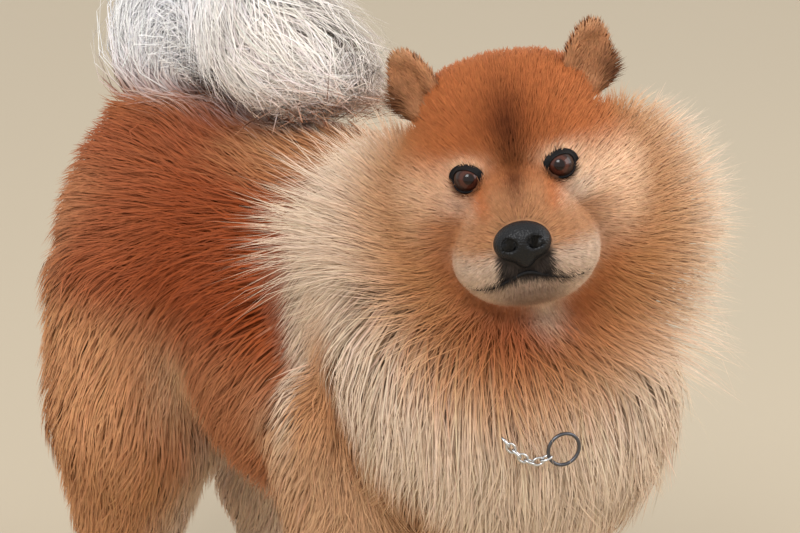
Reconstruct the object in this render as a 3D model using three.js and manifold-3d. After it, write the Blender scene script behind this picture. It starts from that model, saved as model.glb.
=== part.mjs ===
// A chow chow, life size, standing on four straight legs with its head turned to its right, in millimetres.
// +Z is up, the dog faces -Y and its left side is +X. The paws rest on z = 0.
// Each part of the body is a core of flesh and undercoat, and the long coat is flat, tapered locks that are
// rooted in it.
import * as THREE from "three";
import { mergeVertices } from "three/addons/utils/BufferGeometryUtils.js";
import Module from "manifold-3d";

const wasm = await Module();
wasm.setup();

const at = (x, y, z) => new THREE.Vector3(x, y, z);
const radians = THREE.MathUtils.degToRad;

// Driving sizes
const GAP = 0.35;                     // free space between touching parts
const CORE = 0.45;                    // how far up the coat a core reaches, as a share of the coat's depth
const WITHERS = 500;                  // skin height at the shoulders
const LEG_SPREAD = 80;                // half the distance between the left and right legs
const FORE_Y = -176;                  // the forelegs stand here
const HIND_Y = 222;                   // the hocks stand here
const HEAD_AT = at(-35, -305, 570);   // midpoint between the eyes
const HEAD_YAW = radians(-39);        // turned to the dog's right
const HEAD_PITCH = radians(-4);       // nose a little up
const HEAD_ROLL = radians(-10);       // left ear higher
const EYE_SPREAD = 35.5;              // half the distance between the eyes
const EYE_Z = 5;                      // the eyes lie this far over the origin of the head
const EYE_RADIUS = 11.5;
const EYE_BULGE = 5;                  // how far the eyeball stands out of the face
const LID = 2.4;                      // thickness of the eyelids

// The head has a frame of its own: its origin is midway between the eyes, +x to its left, +y to its back.
const headTurn = new THREE.Euler(HEAD_PITCH, HEAD_ROLL, HEAD_YAW, "ZXY");
const headMatrix = new THREE.Matrix4().makeRotationFromEuler(headTurn).setPosition(HEAD_AT);
const headInverse = headMatrix.clone().invert();
const fromHead = (p) => p.clone().applyMatrix4(headMatrix);
const toHead = (p) => p.clone().applyMatrix4(headInverse);

// Masses of flesh: round ones are ellipsoids, long ones are tapered limbs. coat is the depth of hair over
// them.
const round = (centre, size, coat) => ({ centre, size, coat });
const long = (from, to, start, end, coat) => ({ from, to, start, end, coat });

const trunkMasses = [
  round(at(0, -240, 392), at(100, 80, 110), 76),
  round(at(0, -60, WITHERS - 126), at(104, 150, 126), 56),
  round(at(0, 96, 394), at(94, 140, 96), 50),
  round(at(0, 194, 394), at(106, 92, 98), 50),
  round(at(0, 234, 446), at(64, 42, 50), 46),
];
const neckMasses = [
  long(at(0, -165, 440), fromHead(at(0, 86, -58)), 90, 74, 66),
  round(fromHead(at(0, 66, -56)), at(80, 58, 76), 58),
];
const foreMasses = (side) => [
  long(at(80 * side, -158, 330), at(LEG_SPREAD * side, -172, 232), 54, 42, 34),
  long(at(LEG_SPREAD * side, -172, 232), at(LEG_SPREAD * side, FORE_Y, 96), 38, 29, 18),
  long(at(LEG_SPREAD * side, FORE_Y, 96), at(LEG_SPREAD * side, FORE_Y - 10, 36), 27, 26, 11),
];
const hindMasses = (side) => [
  long(at(78 * side, 172, 362), at(98 * side, 168, 262), 70, 55, 40),
  long(at(98 * side, 168, 262), at(LEG_SPREAD * side, HIND_Y, 142), 50, 31, 34),
  long(at(LEG_SPREAD * side, HIND_Y, 142), at(LEG_SPREAD * side, HIND_Y - 14, 36), 25, 25, 14),
];
const tailPath = [at(0, 205, 478), at(0, 243, 545), at(2, 222, 590), at(8, 160, 604), at(16, 74, 586)];
const TAIL_RADII = [26, 22, 19, 15, 10];
const TAIL_COAT = 50;
const tailMasses = tailPath.slice(1)
  .map((p, i) => long(tailPath[i], p, TAIL_RADII[i], TAIL_RADII[i + 1], TAIL_COAT));
const headMasses = [
  round(at(0, 54, 14), at(62, 70, 60), 16),
  ...[-1, 1].flatMap((side) => [
    round(at(32 * side, 48, 36), at(27, 44, 34), 14),
    round(at(45 * side, 28, -24), at(36, 44, 44), 21),
    round(at(31 * side, 10, 26), at(23, 17, 12), 6),
    round(at(23 * side, -44, -57), at(28, 33, 24), 5),
    round(at(40 * side, 2, -20), at(26, 16, 22), 9),
  ]),
  round(at(0, -24, -20), at(25, 44, 22), 4),
  round(at(0, -34, -45), at(42, 44, 33), 5),
  round(at(0, -38, -82), at(28, 30, 12), 6),
  round(at(0, 16, -62), at(46, 56, 32), 24),
];
const NOSE_AT = at(0, -79, -37);
const noseMasses = [
  round(NOSE_AT, at(19, 13, 14), 0),
  round(at(11, -80, -40), at(10, 11, 10), 0),
  round(at(-11, -80, -40), at(10, 11, 10), 0),
  round(at(0, -78, -50), at(7, 10, 9), 0),
];

// Distance from a point to one mass, negative inside.
function distanceTo(mass, p) {
  if (mass.size) {
    const q = p.clone().sub(mass.centre);
    const near = q.clone().divide(mass.size).length();
    const far = q.divide(mass.size).divide(mass.size).length();
    return far > 1e-9 ? (near * (near - 1)) / far : -Math.min(mass.size.x, mass.size.y, mass.size.z);
  }
  const along = mass.to.clone().sub(mass.from);
  const share = THREE.MathUtils.clamp(p.clone().sub(mass.from).dot(along) / along.lengthSq(), 0, 1);
  const radius = THREE.MathUtils.lerp(mass.start, mass.end, share);
  return along.multiplyScalar(share).add(mass.from).distanceTo(p) - radius;
}

// Masses melted together: the distance to their common skin, and the depth of coat there.
function melt(masses, blend) {
  return (p) => {
    let sum = 0;
    let coat = 0;
    for (const mass of masses) {
      const weight = Math.exp(-distanceTo(mass, p) / blend);
      sum += weight;
      coat += weight * mass.coat;
    }
    return { skin: -blend * Math.log(sum), coat: coat / sum };
  };
}

// How far a point is above a given level of the coat, where 0 is the skin and 1 the tips.
const above = (body, level, grow = 0) => (p) => {
  const { skin, coat } = body(p);
  return skin - level * coat - grow;
};

// The outward direction of a body at a point.
function outward(field, p) {
  const step = 0.5;
  const slope = at(0, 0, 0);
  for (const axis of ["x", "y", "z"]) {
    const ahead = p.clone();
    const behind = p.clone();
    ahead[axis] += step;
    behind[axis] -= step;
    slope[axis] = field(ahead) - field(behind);
  }
  return slope.normalize();
}

// A point moved along the slope until it lies on the field's zero surface.
function settle(field, p) {
  const q = p.clone();
  for (let pass = 0; pass < 5; pass++) q.addScaledVector(outward(field, q), -field(q));
  return q;
}

// A closed manifold solid from a three.js geometry.
function solid(geometry) {
  const bare = geometry.clone();
  bare.deleteAttribute("normal");
  bare.deleteAttribute("uv");
  const merged = mergeVertices(bare, 1e-4);
  return new wasm.Manifold(new wasm.Mesh({
    numProp: 3,
    vertProperties: merged.attributes.position.array,
    triVerts: new Uint32Array(merged.index.array),
  }));
}

// A three.js geometry from a manifold solid.
function geometryOf(made) {
  const mesh = made.getMesh();
  return new THREE.BufferGeometry()
    .setAttribute("position", new THREE.BufferAttribute(new Float32Array(mesh.vertProperties), 3))
    .setIndex(new THREE.BufferAttribute(new Uint32Array(mesh.triVerts), 1));
}

// A spine is a curve through a body, and a ray from it meets the body's surface once.
// unit is a direction on a sphere whose poles are the ends of the spine; fan bends rays near them along it.
function cast(field, path, unit, fan = 1.6) {
  const side = Math.abs(path.getTangentAt(0.5).x) > 0.8 ? at(0, 1, 0) : at(1, 0, 0);
  const share = 1 - Math.acos(THREE.MathUtils.clamp(unit.y, -1, 1)) / Math.PI;
  const start = path.getPointAt(share);
  const axis = path.getTangentAt(share);
  const across = side.addScaledVector(axis, -side.dot(axis)).normalize();
  const other = across.clone().cross(axis);
  const ray = at(0, 0, 0)
    .addScaledVector(across, unit.x)
    .addScaledVector(axis, Math.sign(unit.y) * Math.abs(unit.y) ** fan)
    .addScaledVector(other, unit.z)
    .normalize();
  let high = 4;
  while (high < 900 && field(start.clone().addScaledVector(ray, high)) < 0) high += 4;
  let low = high - 4;
  for (let pass = 0; pass < 14; pass++) {
    const middle = (low + high) / 2;
    if (field(start.clone().addScaledVector(ray, middle)) < 0) low = middle;
    else high = middle;
  }
  return start.addScaledVector(ray, low);
}

// A closed surface over a field: a sphere strung along a spine, each vertex cast out to the surface.
function shell(field, spine, around, along) {
  const shape = new THREE.SphereGeometry(1, around, along);
  const place = shape.attributes.position;
  const path = new THREE.CatmullRomCurve3(spine);
  for (let i = 0; i < place.count; i++) {
    const end = cast(field, path, at(place.getX(i), place.getY(i), place.getZ(i)));
    place.setXYZ(i, end.x, end.y, end.z);
  }
  return solid(shape);
}

// A little of everything that is drawn at random, the same on every run.
let seed = 20117;
function random(low, high) {
  seed = (seed * 1664525 + 1013904223) % 4294967296;
  return low + (high - low) * (seed / 4294967296);
}

// The ruff stands round the face: no long hair in front of the cheeks or above the throat.
const RUFF_FRONT = 36;
const THROAT_Z = -78;
const THROAT_SLOPE = radians(30);
function faceRoom(p) {
  const q = toHead(p);
  const overThroat = (q.z - THROAT_Z) * Math.cos(THROAT_SLOPE) - (q.y - RUFF_FRONT) * Math.sin(THROAT_SLOPE);
  return Math.min(RUFF_FRONT - q.y, overThroat);
}
const roundFace = (field) => (p) => Math.max(field(p), faceRoom(p));

const trunk = melt(trunkMasses, 14);
const neck = melt(neckMasses, 14);
const headLocal = melt(headMasses, 6);
const nose = melt(noseMasses, 3);
const tail = melt(tailMasses, 8);

// The head's coat is short and dense, so its surface is drawn at the tips.
const headSurface = (grow = 0) => above(headLocal, 1, grow);

// The whole animal's coat, which the locks rise through whatever part they grow from
const limbMasses = [-1, 1].flatMap((side) => [...foreMasses(side), ...hindMasses(side)]);
const body = melt([...trunkMasses, ...neckMasses, ...limbMasses, ...tailMasses], 14);

// Placed parts, first come first served: each later part is cut clear of every earlier one.
const placed = [];
function meets(a, b) {
  const p = a.boundingBox();
  const q = b.boundingBox();
  return [0, 1, 2].every((i) => p.min[i] < q.max[i] && q.min[i] < p.max[i]);
}
function clearOf(made, others) {
  return others.filter((other) => meets(made, other)).reduce((left, other) => left.subtract(other), made);
}

// One lock of hair: a flat cone, three-sided and keeled on top, bent along a path that rises through the
// coat. It starts at root, sunk below the core, and follows the lie; its tip reaches the top of the coat.
const LOCK_STATIONS = 3;
const LOCK_SINK = 14;
const LOCK_RISE = 0.55;                // under 1, so that a lock stands up at its root and lies down after
const TIP_LEVEL = 1.04;
const LOCK_BULGE = 1.6;
function lockPath(coat, root, lie, length) {
  const step = length / LOCK_STATIONS;
  const points = [];
  const outs = [];
  let p = root.clone();
  for (let i = 0; i <= LOCK_STATIONS; i++) {
    const share = i / LOCK_STATIONS;
    const level = above(coat, CORE + (TIP_LEVEL - CORE) * share ** LOCK_RISE);
    const out = outward(level, p);
    if (i > 0) {
      const way = lie(p).clone();
      p = p.addScaledVector(way.addScaledVector(out, -out.dot(way)).normalize(), step);
    }
    p = settle(level, p);
    outs.push(out);
    points.push(p.clone());
  }
  points[0].addScaledVector(outs[0], -LOCK_SINK);
  return { points, outs };
}

// The lock itself, or a copy of it that stands grow further out on every face
function lockOn({ points, outs }, width, thick, grow = 0) {
  const shape = new THREE.ConeGeometry(1, 1, 3, LOCK_STATIONS);
  const place = shape.attributes.position;
  const slope = thick / (width / 2);
  const overKeel = grow * Math.hypot(1, slope);
  for (let i = 0; i < place.count; i++) {
    const station = Math.round((place.getY(i) + 0.5) * LOCK_STATIONS);
    const before = points[Math.max(0, station - 1)];
    const after = points[Math.min(LOCK_STATIONS, station + 1)];
    const along = after.clone().sub(before).normalize();
    const across = along.clone().cross(outs[station]).normalize();
    const up = across.clone().cross(along);
    const full = 1 + LOCK_BULGE * station / LOCK_STATIONS;
    const atTip = station === LOCK_STATIONS;
    const keel = place.getZ(i) > 0;
    const wider = keel || atTip ? 0 : Math.sign(place.getX(i)) * (overKeel + grow) / slope;
    const taller = atTip ? 0 : keel ? overKeel : -grow;
    const longer = atTip ? 4 * grow : station === 0 ? -grow : 0;
    const p = points[station].clone()
      .addScaledVector(across, place.getX(i) * full * width / Math.sqrt(3) + wider)
      .addScaledVector(up, place.getZ(i) * full * thick / 1.5 + taller)
      .addScaledVector(along, longer);
    place.setXYZ(i, p.x, p.y, p.z);
  }
  return solid(shape);
}

// A part keeps clear of every part placed before it. fats are slightly grown copies for later parts to clear.
function place(name, made, fats, colour, roughness = 0.9, metalness = 0) {
  const others = placed.flatMap((part) => part.fats);
  placed.push({ name, made: clearOf(made, others), fats, colour, roughness, metalness });
}

// Locks for one part, in staggered rows round its spine, once every part has its place. Where a lock would
// cross another part it is made shorter, and then left out.
const LOCK_LENGTHS = [1, 0.8, 0.62];
const LOCK_ROOM = 3 * GAP;
const LOCK_SPOILT = 0.03;              // the share of a lock that others may cut away
const RING_DOTS = 24;
function growLocks(name, { field, spine, lie, grows, rows, from, to, spacing, length, width, thick }) {
  const part = placed.find((one) => one.name === name);
  const others = placed.filter((one) => one !== part).flatMap((one) => one.fats);
  const path = new THREE.CatmullRomCurve3(spine);
  for (let row = 0; row < rows; row++) {
    const polar = Math.PI * (1 - (from + (to - from) * (row + 0.5) / rows));
    const dot = (turn) => cast(field, path,
      at(Math.sin(polar) * Math.cos(turn), Math.cos(polar), Math.sin(polar) * Math.sin(turn)));
    const ring = Array.from({ length: RING_DOTS }, (_, i) => dot(i / RING_DOTS * Math.PI * 2));
    const around = ring.reduce((sum, p, i) => sum + p.distanceTo(ring[(i + 1) % RING_DOTS]), 0);
    const count = Math.max(1, Math.round(around / spacing));
    for (let i = 0; i < count; i++) {
      const turn = (i + (row % 2) / 2 + random(-0.14, 0.14)) / count * Math.PI * 2;
      const root = dot(turn);
      const size = random(0.88, 1.12);
      const buried = above(body, CORE)(root) < -8;
      if (buried || (grows && !grows(root))) continue;
      for (const share of LOCK_LENGTHS) {
        const way = lockPath(body, root, lie, length * size * share);
        const lock = lockOn(way, width * size * share ** 0.5, thick);
        const tip = clearOf(lock, others);
        if (lock.volume() - tip.volume() > lock.volume() * LOCK_SPOILT) continue;
        const joined = part.made.add(tip);
        if (joined.decompose().length > part.made.decompose().length) continue;
        part.made = joined;
        part.fats.push(lockOn(way, width * size * share ** 0.5, thick, LOCK_ROOM));
        break;
      }
    }
  }
}

const RED = 0xa85f33;
const CREAM = 0xd9b48c;
const DARK = 0x17171b;
const IRIS = 0x3a1c10;
const STEEL = 0x9a9a9c;
const DULL_STEEL = 0x55565a;

const ball = (centre, radius, around = 12, along = 8) =>
  solid(new THREE.SphereGeometry(radius, around, along).translate(centre.x, centre.y, centre.z));
function toWorld(made) {
  return solid(geometryOf(made).applyMatrix4(headMatrix));
}

// Eyes, set as deep in the face as real ones
function faceY(x, z) {
  let y = -120;
  while (headSurface()(at(x, y, z)) > 0) y += 0.5;
  return y;
}
const eyeCentres = [-1, 1].map((side) =>
  at(EYE_SPREAD * side, faceY(EYE_SPREAD * side, EYE_Z) + EYE_RADIUS - EYE_BULGE, EYE_Z));

// The opening between the lids: a long almond, its outer corner raised.
const EYE_LENGTH = 21;
const EYE_HEIGHT = 14;
const EYE_SLANT = radians(22);
const EYE_RAISE = radians(14);
function lidOpening(centre, side, size) {
  const almond = new THREE.Shape();
  almond.moveTo(-EYE_LENGTH / 2 * size, 0);
  almond.quadraticCurveTo(0, EYE_HEIGHT * size, EYE_LENGTH / 2 * size, 0);
  almond.quadraticCurveTo(0, -EYE_HEIGHT * 0.9 * size, -EYE_LENGTH / 2 * size, 0);
  const cut = new THREE.ExtrudeGeometry(almond, { depth: 40, bevelEnabled: false, curveSegments: 5 });
  cut.rotateX(Math.PI / 2).rotateY(-EYE_RAISE * side).rotateZ(EYE_SLANT * side);
  return solid(cut.translate(centre.x, centre.y, centre.z));
}

const headSpine = [at(0, 60, 0), at(0, 10, -18), at(0, -40, -48)];
const noseSpine = [at(0, -72, -38), at(0, -82, -42)];
const NOSTRIL_RADIUS = 4;
const nostrils = [-1, 1].map((side) => ball(at(8.5 * side, -92, -39), NOSTRIL_RADIUS, 8, 6));
const [noseCore, noseFat] = [0, GAP].map((grow) => shell(above(nose, 0, grow), noseSpine, 13, 8));

// The mouth is a groove pressed into the muzzle, from below the nose to both corners.
const MOUTH_RADIUS = 1.9;
const mouthHalf = [at(0, -86, -63), at(14, -84, -70), at(30, -74, -76), at(44, -56, -77), at(50, -34, -72)];
const mouth = [...mouthHalf.slice(1).reverse().map((p) => at(-p.x, p.y, p.z)), ...mouthHalf];
const lipGroove = [at(0, -90, -52), at(0, -88, -62)];
function groove(points, radius, steps) {
  const ring = new THREE.Shape().absarc(0, 0, radius, 0, Math.PI * 2);
  const path = new THREE.CatmullRomCurve3(points.map((p) => settle(headSurface(), p)));
  const shape = { steps, curveSegments: 3, bevelEnabled: false, extrudePath: path };
  return solid(new THREE.ExtrudeGeometry(ring, shape));
}

let headCore = shell(headSurface(), headSpine, 27, 20);
headCore = headCore.subtract(groove(mouth, MOUTH_RADIUS, 12));
headCore = headCore.subtract(groove(lipGroove, MOUTH_RADIUS * 0.6, 2));
for (const [i, side] of [-1, 1].entries()) {
  const centre = eyeCentres[i];
  const lids = ball(centre, EYE_RADIUS + LID).subtract(ball(centre, EYE_RADIUS + GAP));
  headCore = headCore.subtract(ball(centre, EYE_RADIUS + GAP)).subtract(lidOpening(centre, side, 1.25));
  headCore = headCore.add(lids.subtract(lidOpening(centre, side, 1)));
}
// What keeps clear of the head needn't follow its fine shape.
const HEAD_ROOM = 3.6;
const headFats = [
  shell(headSurface(HEAD_ROOM), headSpine, 20, 16),
  ...eyeCentres.map((centre) => ball(centre, EYE_RADIUS + LID + GAP, 10, 8)),
].map(toWorld);

for (const [i, word] of ["right", "left"].entries()) {
  place(`eye_${word}`, toWorld(ball(eyeCentres[i], EYE_RADIUS)), [], IRIS, 0.15);
}
place("nose", toWorld(clearOf(noseCore, nostrils)), [toWorld(noseFat)], DARK, 0.4);

// Ears: small, thick and round tipped, each with its cup to the front
const EAR_LENGTH = 66;
const EAR_HALF_WIDTH = 27;
const EAR_HALF_THICK = 11;
const EAR_TAPER = 0.3;
const EAR_CUP = 0.78;
function earShape(side, grow, size, forward) {
  const shape = new THREE.SphereGeometry(1, 12, 7);
  const points = shape.attributes.position;
  const axis = at(0.27 * side, -0.08, 0.95).normalize();
  const facing = at(0.42 * side, -0.9, 0);
  facing.addScaledVector(axis, -facing.dot(axis)).normalize();
  const across = axis.clone().cross(facing);
  const root = at(60 * side, 44, 42);
  for (let i = 0; i < points.count; i++) {
    const share = 1 - Math.acos(THREE.MathUtils.clamp(points.getY(i), -1, 1)) / Math.PI;
    const ring = Math.hypot(points.getX(i), points.getZ(i));
    const full = ring > 1e-6 ? (ring ** 0.42 / ring) * (1 - EAR_TAPER * share) : 0;
    const p = root.clone()
      .addScaledVector(axis, EAR_LENGTH * size * share + (share - 0.5) * 2 * grow)
      .addScaledVector(across, points.getX(i) * full * (EAR_HALF_WIDTH * size + grow))
      .addScaledVector(facing, points.getZ(i) * full * (EAR_HALF_THICK * size + grow) + forward);
    points.setXYZ(i, p.x, p.y, p.z);
  }
  return solid(shape);
}
function placeEar(word, side) {
  const ear = earShape(side, 0, 1, 0).subtract(earShape(side, 0, EAR_CUP, EAR_HALF_THICK * 0.9));
  place(`ear_${word}`, toWorld(ear), [toWorld(earShape(side, GAP, 1, 0))], RED);
}

place("head", toWorld(headCore), headFats, RED);
placeEar("right", -1);
placeEar("left", 1);

// The chain's ring and the links that the coat leaves in view lie on the breast.
const RING_AT = at(-50, -378, 373);
const RING_RADIUS = 13;
const RING_WIRE = 1.4;
const LINK_LENGTH = 11;
const LINK_WIDTH = 8;
const LINK_WIRE = 1;
const CHAIN_LEVEL = 1.03;                // just above the locks
const CHAIN_LIFT = 2.5;
const LINKS = 7;
const PICTURE_RIGHT = at(0.809, -0.588, 0);

// A closed loop of round wire, such as a link or a ring
function wireLoop(halfLength, halfWidth, wire, around, section) {
  const torus = new THREE.TorusGeometry(1, 0.1, section, around);
  const points = torus.attributes.position;
  for (let i = 0; i < points.count; i++) {
    const turn = Math.atan2(points.getY(i), points.getX(i));
    const out = (Math.hypot(points.getX(i), points.getY(i)) - 1) * 10 * wire;
    const x = Math.cos(turn) * (halfLength - wire) + Math.cos(turn) * out;
    const y = Math.sin(turn) * (halfWidth - wire) + Math.sin(turn) * out;
    points.setXYZ(i, x, y, points.getZ(i) * 10 * wire);
  }
  return torus;
}
const breast = above(trunk, CHAIN_LEVEL);
function onBreast(right, up) {
  const surface = settle(breast, RING_AT.clone().addScaledVector(PICTURE_RIGHT, right).add(at(0, 0, up)));
  return surface.addScaledVector(outward(breast, surface), CHAIN_LIFT);
}
function placeLoop(name, loopOf, centre, towards, roll, colour) {
  const out = outward(breast, centre);
  const along = towards.clone().addScaledVector(out, -out.dot(towards)).normalize();
  const turn = new THREE.Matrix4().makeBasis(along, out.clone().cross(along), out);
  turn.multiply(new THREE.Matrix4().makeRotationX(roll)).setPosition(centre);
  const [made, fat] = [0, GAP].map((grow) => solid(loopOf(grow).applyMatrix4(turn)));
  place(name, made, [fat], colour, 0.3, 1);
}
const ringCentre = onBreast(0, 0);
const ringLoop = (grow) =>
  wireLoop(RING_RADIUS + RING_WIRE + grow, RING_RADIUS + RING_WIRE + grow, RING_WIRE + grow, 16, 5);
placeLoop("collar_ring", ringLoop, ringCentre, PICTURE_RIGHT, 0, DULL_STEEL);

// The chain leaves the ring to its left, hangs, and rises into the coat. Its first link holds the ring.
const chainPath = new THREE.CatmullRomCurve3([
  [-12.2, -4.6], [-23, -7], [-32, -2], [-39, 5], [-46, 14],
].map(([right, up]) => onBreast(right, up)));
const LINK_PITCH = LINK_LENGTH - 4 * LINK_WIRE - GAP;
const FIRST_LINK = LINK_LENGTH / 2 - 2 * LINK_WIRE - RING_WIRE - GAP;
const linkLoop = (grow) => wireLoop(LINK_LENGTH / 2 + grow, LINK_WIDTH / 2 + grow, LINK_WIRE + grow, 8, 4);
for (let i = 0; i < LINKS; i++) {
  const share = (FIRST_LINK + i * LINK_PITCH) / chainPath.getLength();
  const roll = i % 2 === 0 ? Math.PI / 2 : 0;
  const centre = chainPath.getPointAt(share);
  placeLoop(`collar_link_${i + 1}`, linkLoop, centre, chainPath.getTangentAt(share), roll, STEEL);
}

const trunkSpine = [at(0, -150, 385), at(0, 0, 395), at(0, 170, 400)];
const neckSpine = [at(0, -140, 420), fromHead(at(0, 82, -40))];
function shellAndFat(field, spine, around, along) {
  return [0, GAP].map((grow) => shell((p) => field(p) - grow, spine, around, along));
}
function placeBody(name, field, spine, around, along, colour) {
  const [made, fat] = shellAndFat(field, spine, around, along);
  place(name, made, [fat], colour);
}
const trunkField = roundFace(above(trunk, CORE));
const neckField = roundFace(above(neck, CORE));
placeBody("torso", trunkField, trunkSpine, 22, 16, RED);
placeBody("neck", neckField, neckSpine, 20, 12, CREAM);

// Legs: each is one limb, parted at the knee and the ankle by thin cuts
const KNEE_Z = 200;
const ANKLE_Z = 50;
function band(low, high) {
  const box = new THREE.BoxGeometry(2000, 2000, high - low);
  return solid(box.translate(0, 0, (high + low) / 2));
}
const LONG_TO_SHORT = 60;               // the long coat thins out over this height above the knee
function limbField(masses) {
  const limb = melt(masses, 8);
  return (p) => {
    const long = THREE.MathUtils.clamp((p.z - KNEE_Z) / LONG_TO_SHORT, 0, 1);
    return above(limb, THREE.MathUtils.lerp(1, CORE, long))(p);
  };
}
function placeLeg(name, masses, spine, around, along) {
  const [limb, fat] = shellAndFat(limbField(masses), spine, around, along);
  for (const [part, low, high] of [["upper", KNEE_Z, 900], ["lower", ANKLE_Z, KNEE_Z]]) {
    const made = limb.intersect(band(low + GAP / 2, high - GAP / 2));
    place(`${name}_${part}`, made, [fat.intersect(band(low, high))], RED);
  }
}

// A paw: a pad and four toes, each with its claw, standing flat
const TOES = [-24, -8.5, 8.5, 24];
const TOE_SIZE = at(9.5, 22, 16);
const PAD_SIZE = at(33, 40, 31);
const CLAW_RADIUS = 3.2;
const CLAW_LENGTH = 12;
function egg(centre, size, around, along) {
  const shape = new THREE.SphereGeometry(1, around, along).scale(size.x, size.y, size.z);
  return solid(shape.translate(centre.x, centre.y, centre.z));
}
function placePaw(name, side, heelY) {
  let paw = egg(at(LEG_SPREAD * side, heelY - 12, 24), PAD_SIZE, 12, 6);
  for (const x of TOES) {
    const toe = at(LEG_SPREAD * side + x, heelY - 42 + Math.abs(x) * 0.5, 15);
    paw = paw.add(egg(toe, TOE_SIZE, 7, 4));
    const claw = new THREE.ConeGeometry(CLAW_RADIUS, CLAW_LENGTH, 4).rotateX(Math.PI / 2 + 0.5);
    paw = paw.add(solid(claw.translate(toe.x, toe.y - TOE_SIZE.y, toe.z - 8)));
  }
  place(name, paw.intersect(band(0, ANKLE_Z - GAP / 2)), [], CREAM);
}

const sides = [["left", 1], ["right", -1]];
const foreSpine = (side) =>
  [at(80 * side, -160, 330), at(LEG_SPREAD * side, -173, 200), at(LEG_SPREAD * side, FORE_Y - 6, 40)];
const hindSpine = (side) => [at(80 * side, 172, 350), at(98 * side, 168, 262),
  at(LEG_SPREAD * side, HIND_Y, 142), at(LEG_SPREAD * side, HIND_Y - 12, 44)];
for (const [word, side] of sides) {
  placeLeg(`foreleg_${word}`, foreMasses(side), foreSpine(side), 13, 14);
  placeLeg(`hindleg_${word}`, hindMasses(side), hindSpine(side), 14, 16);
  placePaw(`forepaw_${word}`, side, FORE_Y);
  placePaw(`hindpaw_${word}`, side, HIND_Y - 6);
}

const tailSpine = [at(0, 210, 490), at(0, 240, 545), at(2, 218, 585), at(8, 160, 600), at(16, 95, 590)];
const tailField = above(tail, CORE);
placeBody("tail", tailField, tailSpine, 12, 12, CREAM);

// The lie of the coat: back and down on the body, straight down on the breast and the thighs, away from the
// face on the neck, towards the tip on the tail
const backAndDown = at(0, 0.8, -0.75);
const down = at(0, 0.15, -1);
const breastLie = (p) => down.clone().lerp(backAndDown, THREE.MathUtils.smoothstep(p.y, -200, -80));
const faceCentre = fromHead(at(0, -30, 20));
const ruffLie = (p) => p.clone().sub(faceCentre).normalize().add(at(0, 0.1, -0.5));
const thighLie = () => at(0, 0.4, -1);
const tailCurve = new THREE.CatmullRomCurve3(tailPath);
const tailStops = Array.from({ length: 25 }, (_, i) => i / 24);
function tailLie(p) {
  const near = tailStops.reduce((best, share) =>
    (p.distanceTo(tailCurve.getPointAt(share)) < p.distanceTo(tailCurve.getPointAt(best)) ? share : best), 0);
  return tailCurve.getTangentAt(near);
}

// Locks on the bib stand in rows of their own, and the belly under BELLY_Z is left to its core.
const BIB_Y = -225;
const BELLY_Z = 290;
const bibSpine = [at(-8, -235, 290), at(-8, -235, 500)];
growLocks("neck", {
  field: neckField, spine: neckSpine, lie: ruffLie,
  rows: 5, from: 0.24, to: 0.97, spacing: 66, length: 120, width: 66, thick: 16,
});
growLocks("torso", {
  field: trunkField, spine: bibSpine, lie: breastLie, grows: (p) => p.y < BIB_Y,
  rows: 5, from: 0.2, to: 0.98, spacing: 80, length: 120, width: 74, thick: 15,
});
growLocks("torso", {
  field: trunkField, spine: trunkSpine, lie: breastLie, grows: (p) => p.y > BIB_Y && p.z > BELLY_Z,
  rows: 6, from: 0.25, to: 0.97, spacing: 90, length: 148, width: 84, thick: 15,
});
for (const [word, side] of sides) {
  growLocks(`hindleg_${word}_upper`, {
    field: limbField(hindMasses(side)), spine: hindSpine(side), lie: thighLie,
    grows: (p) => p.z > KNEE_Z + 40,
    rows: 3, from: 0.1, to: 0.56, spacing: 76, length: 125, width: 72, thick: 14,
  });
  growLocks(`foreleg_${word}_upper`, {
    field: limbField(foreMasses(side)), spine: foreSpine(side), lie: () => down,
    grows: (p) => p.z > KNEE_Z + 30,
    rows: 2, from: 0.1, to: 0.5, spacing: 56, length: 100, width: 54, thick: 12,
  });
}
growLocks("tail", {
  field: tailField, spine: tailSpine, lie: tailLie,
  rows: 5, from: 0.06, to: 0.88, spacing: 58, length: 135, width: 58, thick: 14,
});

// Every part becomes one mesh, its largest closed body.
const group = new THREE.Group();
group.name = "chow_chow";
for (const { name, made, colour, roughness, metalness } of placed) {
  const [whole] = made.decompose().sort((a, b) => b.volume() - a.volume());
  const material = new THREE.MeshStandardMaterial({ color: colour, roughness, metalness });
  const mesh = new THREE.Mesh(geometryOf(whole), material);
  mesh.name = name;
  group.add(mesh);
}

// The origin is the middle of the footprint, on the floor.
const middle = new THREE.Box3().setFromObject(group).getCenter(at(0, 0, 0));
group.position.set(-middle.x, -middle.y, 0);

export default group;
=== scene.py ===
"""A chow chow, life size, standing still with its head turned: skin, coat, eyes, nose, claws and collar.

The modelling functions work in millimetres in the dog's own frame: +Z up, it faces -Y, its left side is +X.
The head has a frame of its own, with its origin midway between the eyes. Meshes are in metres, in the frame
of the part.
"""
import math

import bmesh
import bpy
import numpy as np
from mathutils import Matrix, Vector
from mathutils.kdtree import KDTree


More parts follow.
